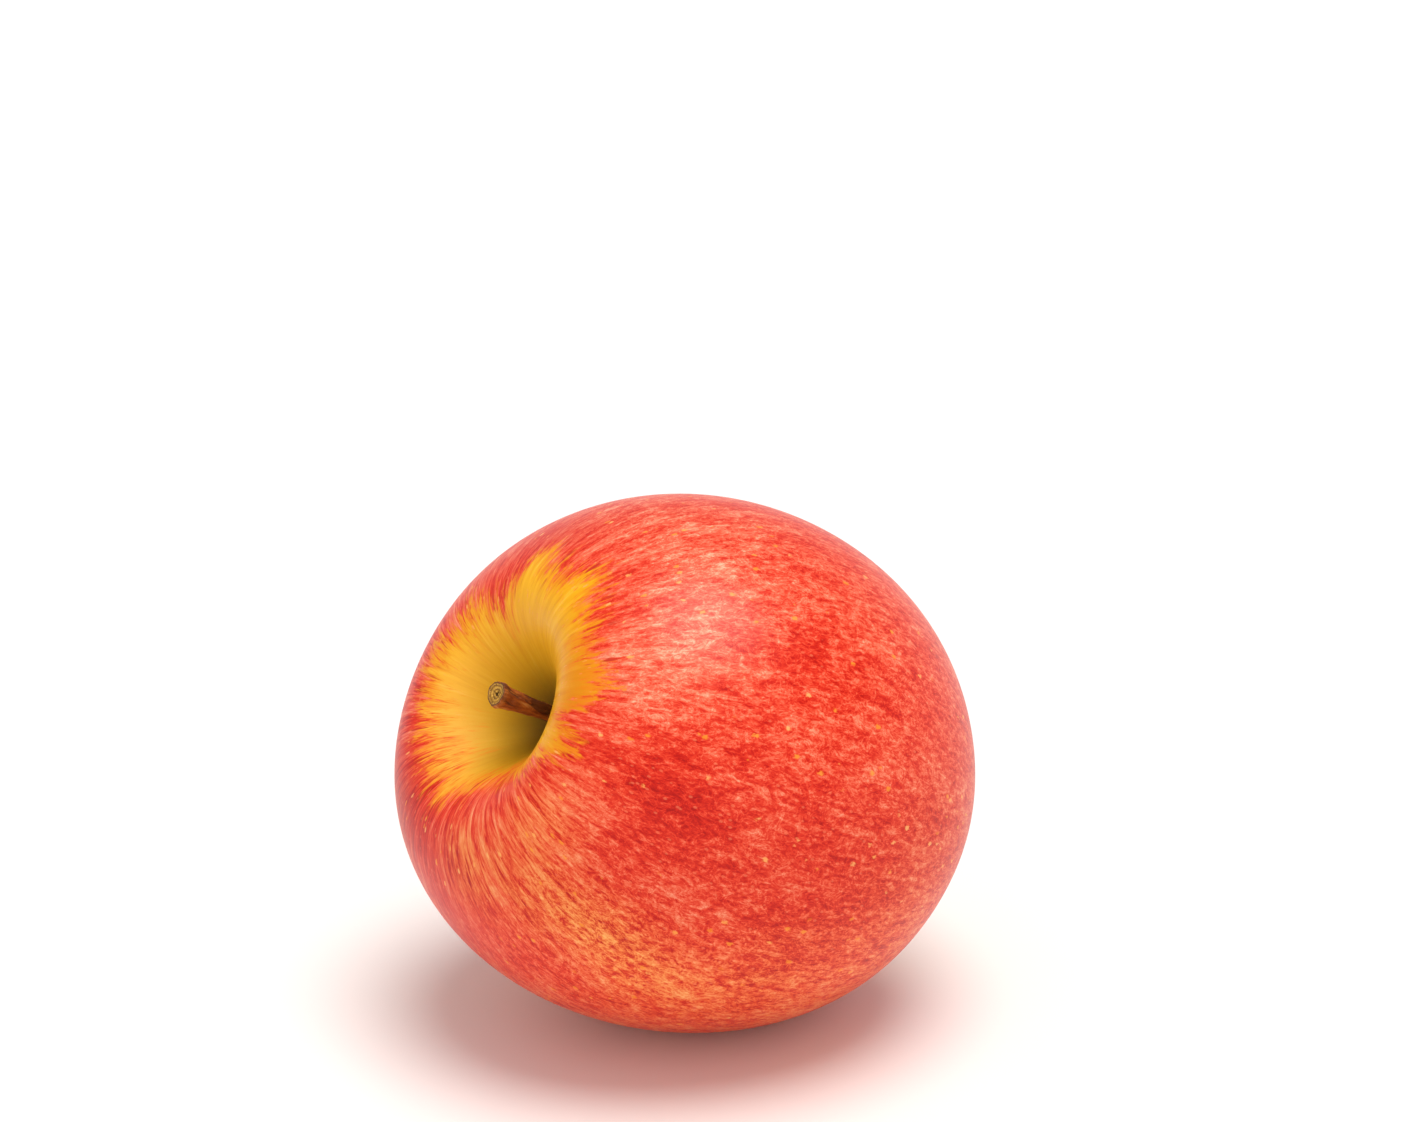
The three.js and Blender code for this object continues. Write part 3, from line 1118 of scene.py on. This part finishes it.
@dataclass(frozen=True)
class BarkFinish:
    """Red-brown cracked bark on the sides, pale ringed wood on the broken end.

    Its clouds are read along "wrap", which runs lengthwise on the stem's Z axis.
    """

    name: str = "stem_bark_and_wood"
    fibre: Cloud = Cloud((1500, 1500, 210), detail=5.0, roughness=0.6, distortion=0.4)
    fibre_depth: float = 0.10 * MM
    crack: Cloud = Cloud((900, 900, 170), (4.0, 2.0, 0.0), 3.0, 0.55, 0.8)
    crack_dark: Pair = (0.44, 0.36)
    crack_share: float = 0.75
    crack_edge: Pair = (0.36, 0.50)
    crack_depth: float = 0.16 * MM
    crack_colour: str = "#3a1502"
    bark: Stops = ((0.28, "#5f2404"), (0.45, "#8a420c"), (0.58, "#a85a18"), (0.74, "#cf9350"))
    rust: Cloud = Cloud((420, 420, 300), detail=2.0)
    rust_edge: Pair = (0.52, 0.66)
    rust_share: float = 0.55
    rust_colour: str = "#b0641c"
    # The broken end: rings as a sine of the distance from the pith, broken up by specks.
    speck: Cloud = Cloud((5200, 5200, 5200), detail=4.0, roughness=0.65)
    ring_waves: Pair = (20.0, 7.0)
    wood_mix: Pair = (0.13, 0.74)
    wood: Stops = ((0.28, "#6a4206"), (0.44, "#9c6a10"), (0.58, "#ca942e"), (0.76, "#e0b258"))
    pith_colour: str = "#4a260b"
    rim_edge: Pair = (0.74, 0.94)
    rim_colour: str = "#5a2c08"
    fibre_range: Pair = (0.3, 0.7)
    roughness_range: Pair = (0.78, 0.60)
    refraction: float = 1.45

    def bark_colour(self, g: Graph, wrap: Socket, fibre: Socket, crack: Socket) -> Socket:
        """Works out the bark's colour.

        Args:
            g: the material.
            wrap: the bark rolled out.
            fibre: the fibres, from 0 to 1.
            crack: the cracks, low where they are open.

        Returns:
            The colour: fibres, darkened in the cracks and rusty in places.
        """
        dark = g.fit(crack, *self.crack_dark, 0.0, self.crack_share)
        rust = g.fit(g.noise(wrap, self.rust), *self.rust_edge, 0.0, self.rust_share)
        bark = g.lay(dark, g.ramp(fibre, self.bark), paint(self.crack_colour))
        return g.lay(rust, bark, paint(self.rust_colour))

    def wood_colour(self, g: Graph) -> Socket:
        """Works out the broken end's colour: grown rings, a dark pith and a dark rim of bark.

        Args:
            g: the material.

        Returns:
            The colour.
        """
        ring = g.attribute("ring")
        speck = g.noise(g.place(), self.speck)
        grown = g.plus(g.reckon(Sum.WAVE, g.weighed([ring, speck], self.ring_waves)), 1.0)
        wood = g.ramp(g.weighed([grown, speck], self.wood_mix), self.wood)
        wood = g.lay(g.attribute("pith"), wood, paint(self.pith_colour))
        return g.lay(g.fit(ring, *self.rim_edge), wood, paint(self.rim_colour))

    def make(self) -> bpy.types.Material:
        """Builds the stem's material from the values "wrap", "wood", "ring" and "pith".

        Returns:
            The material.
        """
        g = Graph(self.name)
        wrap = g.vector_attribute("wrap")
        fibre, crack = g.noise(wrap, self.fibre), g.noise(wrap, self.crack)
        bark = self.bark_colour(g, wrap, fibre, crack)
        colour = g.lay(g.attribute("wood"), bark, self.wood_colour(g))
        cracked = g.relief(g.fit(crack, *self.crack_edge), self.crack_depth)
        return g.surface(
            Base_Color=colour, Roughness=g.fit(fibre, *self.fibre_range, *self.roughness_range),
            Normal=g.relief(fibre, self.fibre_depth, cracked), IOR=self.refraction,
        )


@dataclass(frozen=True)
class Ribs:
    """Waves round the stem: how many, their height as a share of the radius, and how they twist."""

    count: int
    height: float
    phase: float
    twist: float

    def at(self, share: Array, angle: Array) -> Array:
        """Returns the waves' height at a share of the length and an angle round the stem."""
        return self.height * np.cos(self.count * angle + self.phase + self.twist * share)


@dataclass(frozen=True)
class Stem:
    """The woody stem, from its root in the flesh to its flared, broken end."""

    form: FruitForm
    lying: Lying
    length: float = 12.0 * MM
    root_depth: float = 2.6 * MM
    radius: float = 1.1 * MM
    end_radius: float = 1.66 * MM
    flare: float = 2.4
    collar: float = 0.22 * MM
    collar_at: Pair = (0.02, 0.05)
    lip: float = 0.16 * MM
    lip_at: Pair = (0.955, 0.03)
    bow: float = 0.4 * MM
    twist: float = 0.5
    ribs: tuple[Ribs, ...] = (
        Ribs(3, 0.045, 0.6, 0.0), Ribs(7, 0.022, 2.0, 3.0),
        Ribs(13, 0.014, 0.0, -5.0), Ribs(23, 0.010, 0.0, 9.0),
    )
    knots: float = 0.018
    small_knots: float = 0.012
    # The broken end: a rounded rim, a dished face of raised grain, and a sunken three-sided pith.
    rim: float = 0.16 * MM
    rim_width: float = 0.10
    dish: float = 0.32 * MM
    ring_relief: float = 0.035 * MM
    ray_relief: float = 0.05 * MM
    pith_radius: float = 0.17
    pith_corners: float = 0.42
    pith_edge: Pair = (0.8, 1.25)
    pith_depth: float = 0.35 * MM
    innermost: float = 0.02
    wood_edge: Pair = (1.0, 0.93)
    root_x: float = 1.0 * MM
    root_y: float = 0.1 * MM
    lean: float = 8.0
    lean_at: float = -80.0
    side_rings: int = 150
    end_rings: int = 34
    side_count: int = 96
    finish: BarkFinish = BarkFinish()

    def radii(self, share: Array, angle: Array) -> Array:
        """Works out the bark's radius.

        Formula: the plain radius widens by a power of the share of the length, a collar at the root
        and a narrow lip under the end stand out as bells, and lengthwise ribs and knots are added
        as waves.

        Args:
            share: share of the standing length, negative in the flesh, shaped (rings, 1).
            angle: angle round the stem in radians, shaped (1, sides).

        Returns:
            The radius of each point, shaped (rings, sides).
        """
        grown = np.clip(share, 0.0, 1.0) ** self.flare
        plain = self.radius + (self.end_radius - self.radius) * grown
        collar = self.collar * bell(share, *self.collar_at)
        lip = self.lip * bell(share, *self.lip_at)
        ribs = sum(rib.at(share, angle + self.twist * share) for rib in self.ribs)
        knots = self.knots * np.sin(19.0 * share + 2.0 * np.cos(angle))
        small_knots = self.small_knots * np.sin(43.0 * share - 1.5 * np.sin(2 * angle))
        return (plain + collar + lip) * (1.0 + ribs + knots + small_knots)

    def broken_end(self, out: Array, angle: Array) -> tuple[Array, Array]:
        """Works out the broken end.

        Formula: the rim rounds up over its width, the face inside it is dished by the square of the
        distance from the middle, the pith sinks by a smooth step whose edge has three corners, and
        rings and rays of raised grain fade out at the rim and at the middle.

        Args:
            out: distance from the middle as a share of the radius, shaped (rings, 1).
            angle: angle round the stem in radians, shaped (1, sides).

        Returns:
            The height over the bark's last ring, and the pith, 1 inside it, each (rings, sides).
        """
        inward = np.clip((1.0 - out) / self.rim_width, 0.0, 1.0)
        rounded = self.rim * (1.0 - (1.0 - inward) ** 2)
        pith_edge = self.pith_radius * (1.0 + self.pith_corners * np.cos(3.0 * angle + 0.8))
        pith = 1.0 - smoothstep(*self.pith_edge, out / pith_edge)
        grain = self.ring_relief * np.sin(26.0 * out + 1.4 * np.cos(2 * angle))
        grain = grain + self.ray_relief * np.cos(5 * angle + 3.0 * out) * out
        dished = self.dish * (1.0 - out**2) + self.pith_depth * pith
        return rounded - dished + grain * (1.0 - np.abs(2.0 * out - 1.0)), pith

    def standing(self) -> Skin:
        """Works out the stem standing up on its foot: rings up the bark, then in over its end.

        Returns:
            The surface, with the values "wrap", "wood", "ring" and "pith".
        """
        angle = round_angles(self.side_count)
        share = np.linspace(-self.root_depth / self.length, 1.0, self.side_rings)[:, None]
        out = np.linspace(1.0, self.innermost, self.end_rings)[:, None]
        bark = self.radii(share, angle)
        rise, pith = self.broken_end(out, angle)

        def both(on_bark: Union[Array, float], on_end: Union[Array, float]) -> Array:
            """Returns a value on the bark's rings, followed by one on the end's rings."""
            parts = np.broadcast_to(on_bark, bark.shape), np.broadcast_to(on_end, pith.shape)
            return np.concatenate(parts)

        radius = both(bark, bark[-1:] * out)
        height = both(share * self.length, self.length + rise)
        bow = self.bow * both(np.clip(share, 0.0, None), 1.0) ** 2
        rings = grid_points(radius * np.cos(angle) + bow, radius * np.sin(angle), height)
        ends = np.array([[0.0, 0.0, height[0].mean()], [self.bow, 0.0, height[-1].mean()]])
        values = {
            "wrap": grid_points(self.radius * np.cos(angle), self.radius * np.sin(angle), height),
            "wood": both(0.0, smoothstep(*self.wood_edge, out)),
            "ring": both(1.0, out),
            "pith": both(0.0, pith),
        }
        end_values = {
            "wrap": np.zeros((2, 3)), "wood": np.array([0.0, 1.0]),
            "ring": np.array([1.0, 0.0]), "pith": np.array([0.0, 1.0]),
        }
        return Skin(rings, ends, values, end_values)

    def build(self) -> bpy.types.Object:
        """Builds and dresses the stem, leaning in the stem cavity.

        Returns:
            The stem.
        """
        skin = self.standing()
        along = Vector(direction(90.0 - self.lean, self.lean_at))
        turn = np.array(Vector((0, 0, 1)).rotation_difference(along).to_matrix())
        offset, heading = math.hypot(self.root_x, self.root_y), math.atan2(self.root_y, self.root_x)
        foot = self.form.near_core(offset, heading, End.STEM)
        # Rings run from the root up, so each is taken the other way round to face outwards.
        skin.rings = self.lying.down(skin.rings @ turn.T + foot)[:, ::-1]
        skin.ends = self.lying.down(skin.ends @ turn.T + foot)
        skin.values = {key: value[:, ::-1] for key, value in skin.values.items()}
        piece = build_object("stem_woody", [skin])
        return hand_over(piece, self.finish.make(), "stem")


# ---------------------------------------------------------------- the dried calyx


@dataclass(frozen=True)
class SepalFinish:
    """Dry grey-brown leaf, downy all over, darker at the tip."""

    name: str = "dried_sepal_leaf"
    vein: Cloud = Cloud((2600, 420, 2600), detail=4.0, roughness=0.6, distortion=0.5)
    vein_depth: float = 0.12 * MM
    leaf: Stops = ((0.30, "#44301a"), (0.46, "#7d603a"), (0.60, "#a88b5c"), (0.76, "#d0bd94"))
    blotch: Cloud = Cloud((900, 900, 900), roughness=0.6)
    blotch_edge: Pair = (0.50, 0.66)
    blotch_share: float = 0.5
    blotch_colour: str = "#8b8450"
    tip_colour: str = "#2c1a0c"
    roughness: float = 0.85
    down: float = 0.4
    down_roughness: float = 0.5
    down_colour: str = "#d9d2bd"

    def make(self) -> bpy.types.Material:
        """Builds the sepals' material from the values "leaf" and "tip".

        Returns:
            The material.
        """
        g = Graph(self.name)
        veins = g.noise(g.vector_attribute("leaf"), self.vein)
        blotch = g.fit(g.noise(g.place(), self.blotch), *self.blotch_edge, 0.0, self.blotch_share)
        dry = g.lay(blotch, g.ramp(veins, self.leaf), paint(self.blotch_colour))
        return g.surface(
            Base_Color=g.lay(g.attribute("tip"), dry, paint(self.tip_colour)),
            Roughness=self.roughness, Normal=g.relief(veins, self.vein_depth),
            Sheen_Weight=self.down, Sheen_Roughness=self.down_roughness,
            Sheen_Tint=paint(self.down_colour),
        )


@dataclass(frozen=True)
class Sepal:
    """One dried sepal: a thin pointed leaf, leaning in over the tube and curled back at its tip."""

    form: FruitForm
    lying: Lying
    index: int
    material: bpy.types.Material
    length: float = 6.3 * MM
    width: float = 3.5 * MM
    taper_powers: Pair = (1.35, 0.85)
    bluntness: float = 0.03
    frill: float = 0.12
    thickness: float = 0.32 * MM
    tip_thinness: float = 0.55
    lean: float = 1.1 * MM
    curl: float = 2.5 * MM
    curl_power: float = 2.2
    cup: float = 0.55 * MM
    wave: float = 0.26 * MM
    rib: float = 0.10 * MM
    rib_width: float = 0.16
    drift: float = 0.5 * MM
    # The random changes that tell the sepals apart: their seed, and their most as shares.
    seed: int = 100
    width_change: float = 0.08
    cup_change: float = 0.4
    curl_change: float = 0.22
    length_change: float = 0.05
    foot_radius: float = 3.45 * MM
    sink: float = 0.35 * MM
    point: Triple = (0.05 * MM, 0.0, 0.05 * MM)
    tip_from: float = 0.72
    ring_count: int = 56
    side_count: int = 40

    def leaf(self) -> tuple[Array, Array, Array]:
        """Works out the leaf, standing up at its own foot.

        Formula: the cross-section is a flat ellipse whose middle is cupped outwards and carries a
        rib on both faces; it is carried up a centre line that leans in by the length's share and
        curls out by a power of it, its width a rounded taper to the tip, its edges waved. Each
        sepal has its own small random changes of width, cup, taper, curl, drift and length.

        Returns:
            How far each point lies outwards, sideways and up, each shaped (rings, sides).
        """
        rng = np.random.default_rng(self.seed + self.index)
        wider, cupped, wavier, curled, drifted, longer = rng.uniform(-1.0, 1.0, 6)
        share = np.linspace(0.0, 1.0, self.ring_count)[:, None]
        angle = round_angles(self.side_count)
        across = np.cos(angle)
        inner_power, outer_power = self.taper_powers
        frill = 1.06 + self.frill * np.sin(11.0 * share + 2.0 * wavier) * share
        taper = (1.0 - share**inner_power) ** outer_power * frill + self.bluntness
        half_width = self.width / 2.0 * taper * (1.0 + self.width_change * wider)
        thinning = self.tip_thinness + (1.0 - self.tip_thinness) * (1.0 - share)
        plump = self.thickness / 2.0 * thinning * np.sin(angle)
        cup = -self.cup * (1.0 + self.cup_change * cupped) * across**2 * taper * (1.0 - 0.4 * share)
        wave = self.wave * np.sin(8.0 * share + 2.5 * across + 3.0 * wavier)
        wave = wave * np.abs(across) * share
        face = np.sign(np.sin(angle) + 1e-9)
        rib = self.rib * bell(across, 0.0, self.rib_width) * (1.0 - share) * face
        curl = self.curl * (1.0 + self.curl_change * curled) * share**self.curl_power
        sideways = half_width * across + self.drift * drifted * share**2
        reach = self.length * (1.0 + self.length_change * longer)
        rise = reach * (share - 0.10 * share**3)
        outward = -self.lean * share + curl + plump + cup + wave + rib
        return outward, sideways, np.broadcast_to(rise, sideways.shape)

    def seat(self, points: Array) -> Array:
        """Turns points to the sepal's side and stands them out of the basin.

        Args:
            points: points of the standing leaf, from the core.

        Returns:
            The points where the apple lies.
        """
        heading = FULL_TURN * self.index / self.form.lobes
        turn = np.array(Matrix.Rotation(heading, 3, "Z"))
        foot = self.form.near_core(self.foot_radius, -heading, End.CALYX)
        return self.lying.down(points @ turn.T @ TIPPED.T + np.array([0.0, 0.0, foot[2]]))

    def build(self) -> bpy.types.Object:
        """Builds and dresses the sepal.

        Returns:
            The sepal.
        """
        outward, sideways, rise = self.leaf()
        local = grid_points(self.foot_radius + outward, sideways, rise - self.sink)
        ends = np.stack([local[0].mean(0), local[-1].mean(0) + np.array(self.point)])
        leaf = grid_points(sideways, rise, outward)
        share = np.linspace(0.0, 1.0, self.ring_count)[:, None]
        tip = np.broadcast_to(smoothstep(self.tip_from, 1.0, share), rise.shape)
        end_values = {
            "leaf": np.stack([leaf[0].mean(0), leaf[-1].mean(0)]), "tip": np.array([0.0, 1.0]),
        }
        skin = Skin(self.seat(local), self.seat(ends), {"leaf": leaf, "tip": tip}, end_values)
        node = f"sepal_{self.index + 1}"
        return hand_over(build_object(f"{node}_leaf", [skin]), self.material, node)


@dataclass(frozen=True)
class StamenFinish:
    """Dry dark-brown threads with paler, dusty heads."""

    name: str = "dried_stamen_thread"
    dust: Cloud = Cloud((3800, 3800, 3800), roughness=0.6)
    dust_depth: float = 0.05 * MM
    thread: Stops = ((0.32, "#22140a"), (0.50, "#4a3018"), (0.68, "#7a5830"))
    head_colour: str = "#8a6c3c"
    roughness: float = 0.9

    def make(self) -> bpy.types.Material:
        """Builds the stamens' material from the value "head".

        Returns:
            The material.
        """
        g = Graph(self.name)
        dust = g.noise(g.place(), self.dust)
        brown = g.lay(g.attribute("head"), g.ramp(dust, self.thread), paint(self.head_colour))
        return g.surface(
            Base_Color=brown, Roughness=self.roughness, Normal=g.relief(dust, self.dust_depth)
        )


@dataclass(frozen=True)
class StamenTuft:
    """The dried stamens and styles: threads that fan out of the calyx tube, with small heads."""

    form: FruitForm
    lying: Lying
    threads: int = 20
    styles: int = 5
    length: float = 4.9 * MM
    # Where the threads stand and how far they lean and reach: the styles, then the stamens' range.
    style_base: float = 0.35 * MM
    style_spread: float = 0.25 * MM
    style_reach: float = 0.82
    bases_mm: Pair = (0.8, 1.35)
    spreads_mm: Pair = (0.2, 1.0)
    reaches: Pair = (0.72, 1.0)
    next_heading: float = 2.399963
    heading_change: float = 0.3
    seed: int = 41
    thread_radius: float = 0.11 * MM
    head_radius: float = 0.24 * MM
    head_at: Pair = (0.92, 0.07)
    style_thickness: float = 1.4
    crumple: float = 0.12 * MM
    turn: float = 0.35
    lift: float = 0.2 * MM
    steps: int = 14
    side_count: int = 7
    finish: StamenFinish = StamenFinish()

    def centre_lines(self, style: Array) -> Array:
        """Works out the threads' centre lines, standing up in the tube.

        Formula: each line starts on a ring round the core, a golden angle on from the last, and
        leans outwards with the square of its share, crumpled and turned by small waves.

        Args:
            style: which of the threads are styles, which stand straighter in the middle.

        Returns:
            The lines' points, shaped (threads, steps, 3).
        """
        rng = np.random.default_rng(self.seed)
        total = len(style)
        change = rng.uniform(-self.heading_change, self.heading_change, total)
        heading = np.arange(total) * self.next_heading + change
        base = np.where(style, self.style_base, rng.uniform(*self.bases_mm, total) * MM)
        spread = np.where(style, self.style_spread, rng.uniform(*self.spreads_mm, total) * MM)
        reach = np.where(style, self.style_reach, rng.uniform(*self.reaches, total)) * self.length
        phase = rng.uniform(0.0, FULL_TURN, total)[:, None]
        share = np.linspace(0.0, 1.0, self.steps)[None, :]
        out = base[:, None] + spread[:, None] * share**2
        crumple = self.crumple * np.sin(7.0 * share + phase) * share
        turn = heading[:, None] + self.turn * np.sin(3.0 * share + phase) * share
        return grid_points(out * np.cos(turn) + crumple, out * np.sin(turn), reach[:, None] * share)

    def tubes(self, centre: Array, radius: Array) -> Array:
        """Carries a circle along each centre line.

        Formula: each ring's points lie at its radius from the line, round the two directions square
        to it.

        Args:
            centre: the lines' points, shaped (threads, steps, 3).
            radius: their radii, shaped (threads, steps).

        Returns:
            The tubes' points, shaped (threads, steps, sides, 3).
        """
        tangent = np.gradient(centre, axis=1)
        tangent /= np.linalg.norm(tangent, axis=-1, keepdims=True)
        side, other = (way[:, :, None] for way in frame_along(tangent))
        angle = round_angles(self.side_count)[None, :, :, None]
        spoke = side * np.cos(angle) - other * np.sin(angle)
        return centre[:, :, None] + radius[:, :, None, None] * spoke

    def seat(self, points: Array) -> Array:
        """Returns points of the standing tuft set in the tube, pointing out of the basin."""
        floor = self.form.near_core(0.0, 0.0, End.CALYX)[2] + self.form.tube_depth + self.lift
        return self.lying.down(points @ TIPPED.T + np.array([0.0, 0.0, floor]))

    def build(self) -> bpy.types.Object:
        """Builds and dresses the tuft; each thread's radius swells into a head near its end.

        Returns:
            The tuft.
        """
        style = np.arange(self.threads + self.styles) < self.styles
        share = np.linspace(0.0, 1.0, self.steps)[None, :]
        head = bell(share, *self.head_at)
        thin = self.thread_radius * (1.1 - 0.35 * share)
        thin = thin + (self.head_radius - self.thread_radius) * head
        thick = self.style_thickness * self.thread_radius * (1.0 - 0.2 * share)
        centre = self.centre_lines(style)
        rings = self.seat(self.tubes(centre, np.where(style[:, None], thick, thin)))
        ends = self.seat(centre[:, [0, -1]])
        heads = np.broadcast_to(head[..., None], (1, self.steps, self.side_count))[0]
        skins = [
            Skin(ring, end, {"head": heads * (not plain)}, {"head": np.zeros(2)})
            for ring, end, plain in zip(rings, ends, style)
        ]
        piece = build_object("stamen_threads", skins)
        return hand_over(piece, self.finish.make(), "stamen_tuft")


# ---------------------------------------------------------------- table, light and camera


@dataclass(frozen=True)
class Softbox:
    """A large, far lamp: an even soft light from one direction, as wide in the sky as its width."""

    name: str
    elevation: float
    heading: float
    width: float
    strength: float
    colour: str = "#ffffff"

    def hang(self) -> None:
        """Adds the lamp to the scene."""
        light = bpy.data.lights.new(self.name, "SUN")
        light.angle = math.radians(self.width)
        light.energy = self.strength
        light.color = paint(self.colour)[:3]
        lamp = bpy.data.objects.new(self.name, light)
        way = Vector(direction(self.elevation, self.heading))
        lamp.location = way
        lamp.rotation_euler = way.to_track_quat("Z", "Y").to_euler()
        bpy.context.scene.collection.objects.link(lamp)


@dataclass(frozen=True)
class Studio:
    """A plain white table, a bright even room, soft lamps and the camera."""

    lying: Lying
    table_radius: float = 4.0
    table_thickness: float = 10 * MM
    table_rings: int = 48
    table_sides: int = 96
    table_colour: str = "#fcf8f3"
    table_shade: str = "#efeeec"
    table_shade_share: float = 0.02
    table_cloud: Cloud = Cloud((6.0, 6.0, 6.0), detail=2.0)
    table_roughness: float = 0.55
    table_refraction: float = 1.4
    room_colour: str = "#ffffff"
    room_strength: float = 0.36
    wall_strength: float = 0.86
    wall_top: float = 0.5
    camera_azimuth: float = -29.4
    camera_elevation: float = 18.0
    camera_distance: float = 0.450
    apple_right: float = -1.08 * MM
    apple_up: float = -28.09 * MM
    lens: float = 83.89
    sensor: float = 36.0
    nearest: float = 10 * MM
    softboxes: tuple[Softbox, ...] = (
        Softbox("lamp_overhead", 81.0, -62.0, 38.0, 2.28),
        Softbox("lamp_front", 38.0, -130.0, 110.0, 0.62),
    )

    def table_material(self) -> bpy.types.Material:
        """Builds the table's material: white with the faintest clouding.

        Returns:
            The material.
        """
        g = Graph("table_white")
        cloud = g.times(g.noise(g.place(), self.table_cloud), self.table_shade_share)
        white = g.lay(cloud, paint(self.table_colour), paint(self.table_shade))
        return g.surface(
            Base_Color=white, Roughness=self.table_roughness, IOR=self.table_refraction
        )

    def build_table(self) -> bpy.types.Object:
        """Builds and dresses the table.

        Formula: a thin disc whose rings spread out by the square of their number.

        Returns:
            The table.
        """
        share = (np.arange(1, self.table_rings + 1) / self.table_rings)[:, None]
        angle = round_angles(self.table_sides)
        reach = self.table_radius * share**2
        below = np.array([0.0, 0.0, -self.table_thickness])
        top = grid_points(reach * np.cos(angle), reach * np.sin(angle), np.zeros(1))
        skin = Skin(np.concatenate([top, top[-1:] + below]), np.stack([np.zeros(3), below]))
        table = build_object("table_top", [skin])
        table.data.materials.append(self.table_material())
        return table

    def light_room(self) -> None:
        """Fills the room with light, white low on the walls and softer above, and hangs the lamps.

        Formula: the room's strength falls smoothly from wall_strength at the level of the table to
        room_strength where the sine of the height above it, the Z of the way into the room, is
        wall_top.
        """
        world = bpy.data.worlds.new("room")
        world.use_nodes = True
        tree = world.node_tree
        sky = tree.nodes["Background"]
        sky.inputs["Color"].default_value = paint(self.room_colour)
        way = tree.nodes.new("ShaderNodeTexCoord")
        split = tree.nodes.new("ShaderNodeSeparateXYZ")
        fall = tree.nodes.new("ShaderNodeMapRange")
        fall.interpolation_type = "SMOOTHSTEP"
        fall.inputs["From Max"].default_value = self.wall_top
        fall.inputs["To Min"].default_value = self.wall_strength
        fall.inputs["To Max"].default_value = self.room_strength
        tree.links.new(way.outputs["Generated"], split.inputs[0])
        tree.links.new(split.outputs["Z"], fall.inputs["Value"])
        tree.links.new(fall.outputs["Result"], sky.inputs["Strength"])
        bpy.context.scene.world = world
        bpy.context.scene.view_settings.view_transform = "Standard"
        for softbox in self.softboxes:
            softbox.hang()

    def set_camera(self) -> None:
        """Sets the camera on its sight line, with the apple's middle a little off the axis."""
        back = direction(self.camera_elevation, self.camera_azimuth - 90.0)
        right = direction(0.0, self.camera_azimuth)
        up = np.cross(back, right)
        target = self.lying.middle - self.apple_right * right - self.apple_up * up
        lens = bpy.data.cameras.new("camera")
        lens.lens = self.lens
        lens.sensor_width = self.sensor
        lens.clip_start = self.nearest
        lens.dof.use_dof = False
        camera = bpy.data.objects.new("camera", lens)
        pose = np.eye(4)
        pose[:3] = np.stack([right, up, back, target + self.camera_distance * back], -1)
        camera.matrix_world = Matrix(pose.tolist())
        bpy.context.scene.collection.objects.link(camera)
        bpy.context.scene.camera = camera


# ---------------------------------------------------------------- everything


def main() -> None:
    """Builds the camera and room first, then the fruit, its stem and its calyx."""
    logging.basicConfig(level=logging.INFO, format="%(name)s: %(message)s")
    form = FruitForm()
    lying = Lying(form)
    studio = Studio(lying)
    studio.set_camera()
    studio.build_table()
    studio.light_room()
    Fruit(form, lying).build()
    Stem(form, lying).build()
    leaf = SepalFinish().make()
    for index in range(form.lobes):
        Sepal(form, lying, index, leaf).build()
    StamenTuft(form, lying).build()


if __name__ == "__main__":
    main()
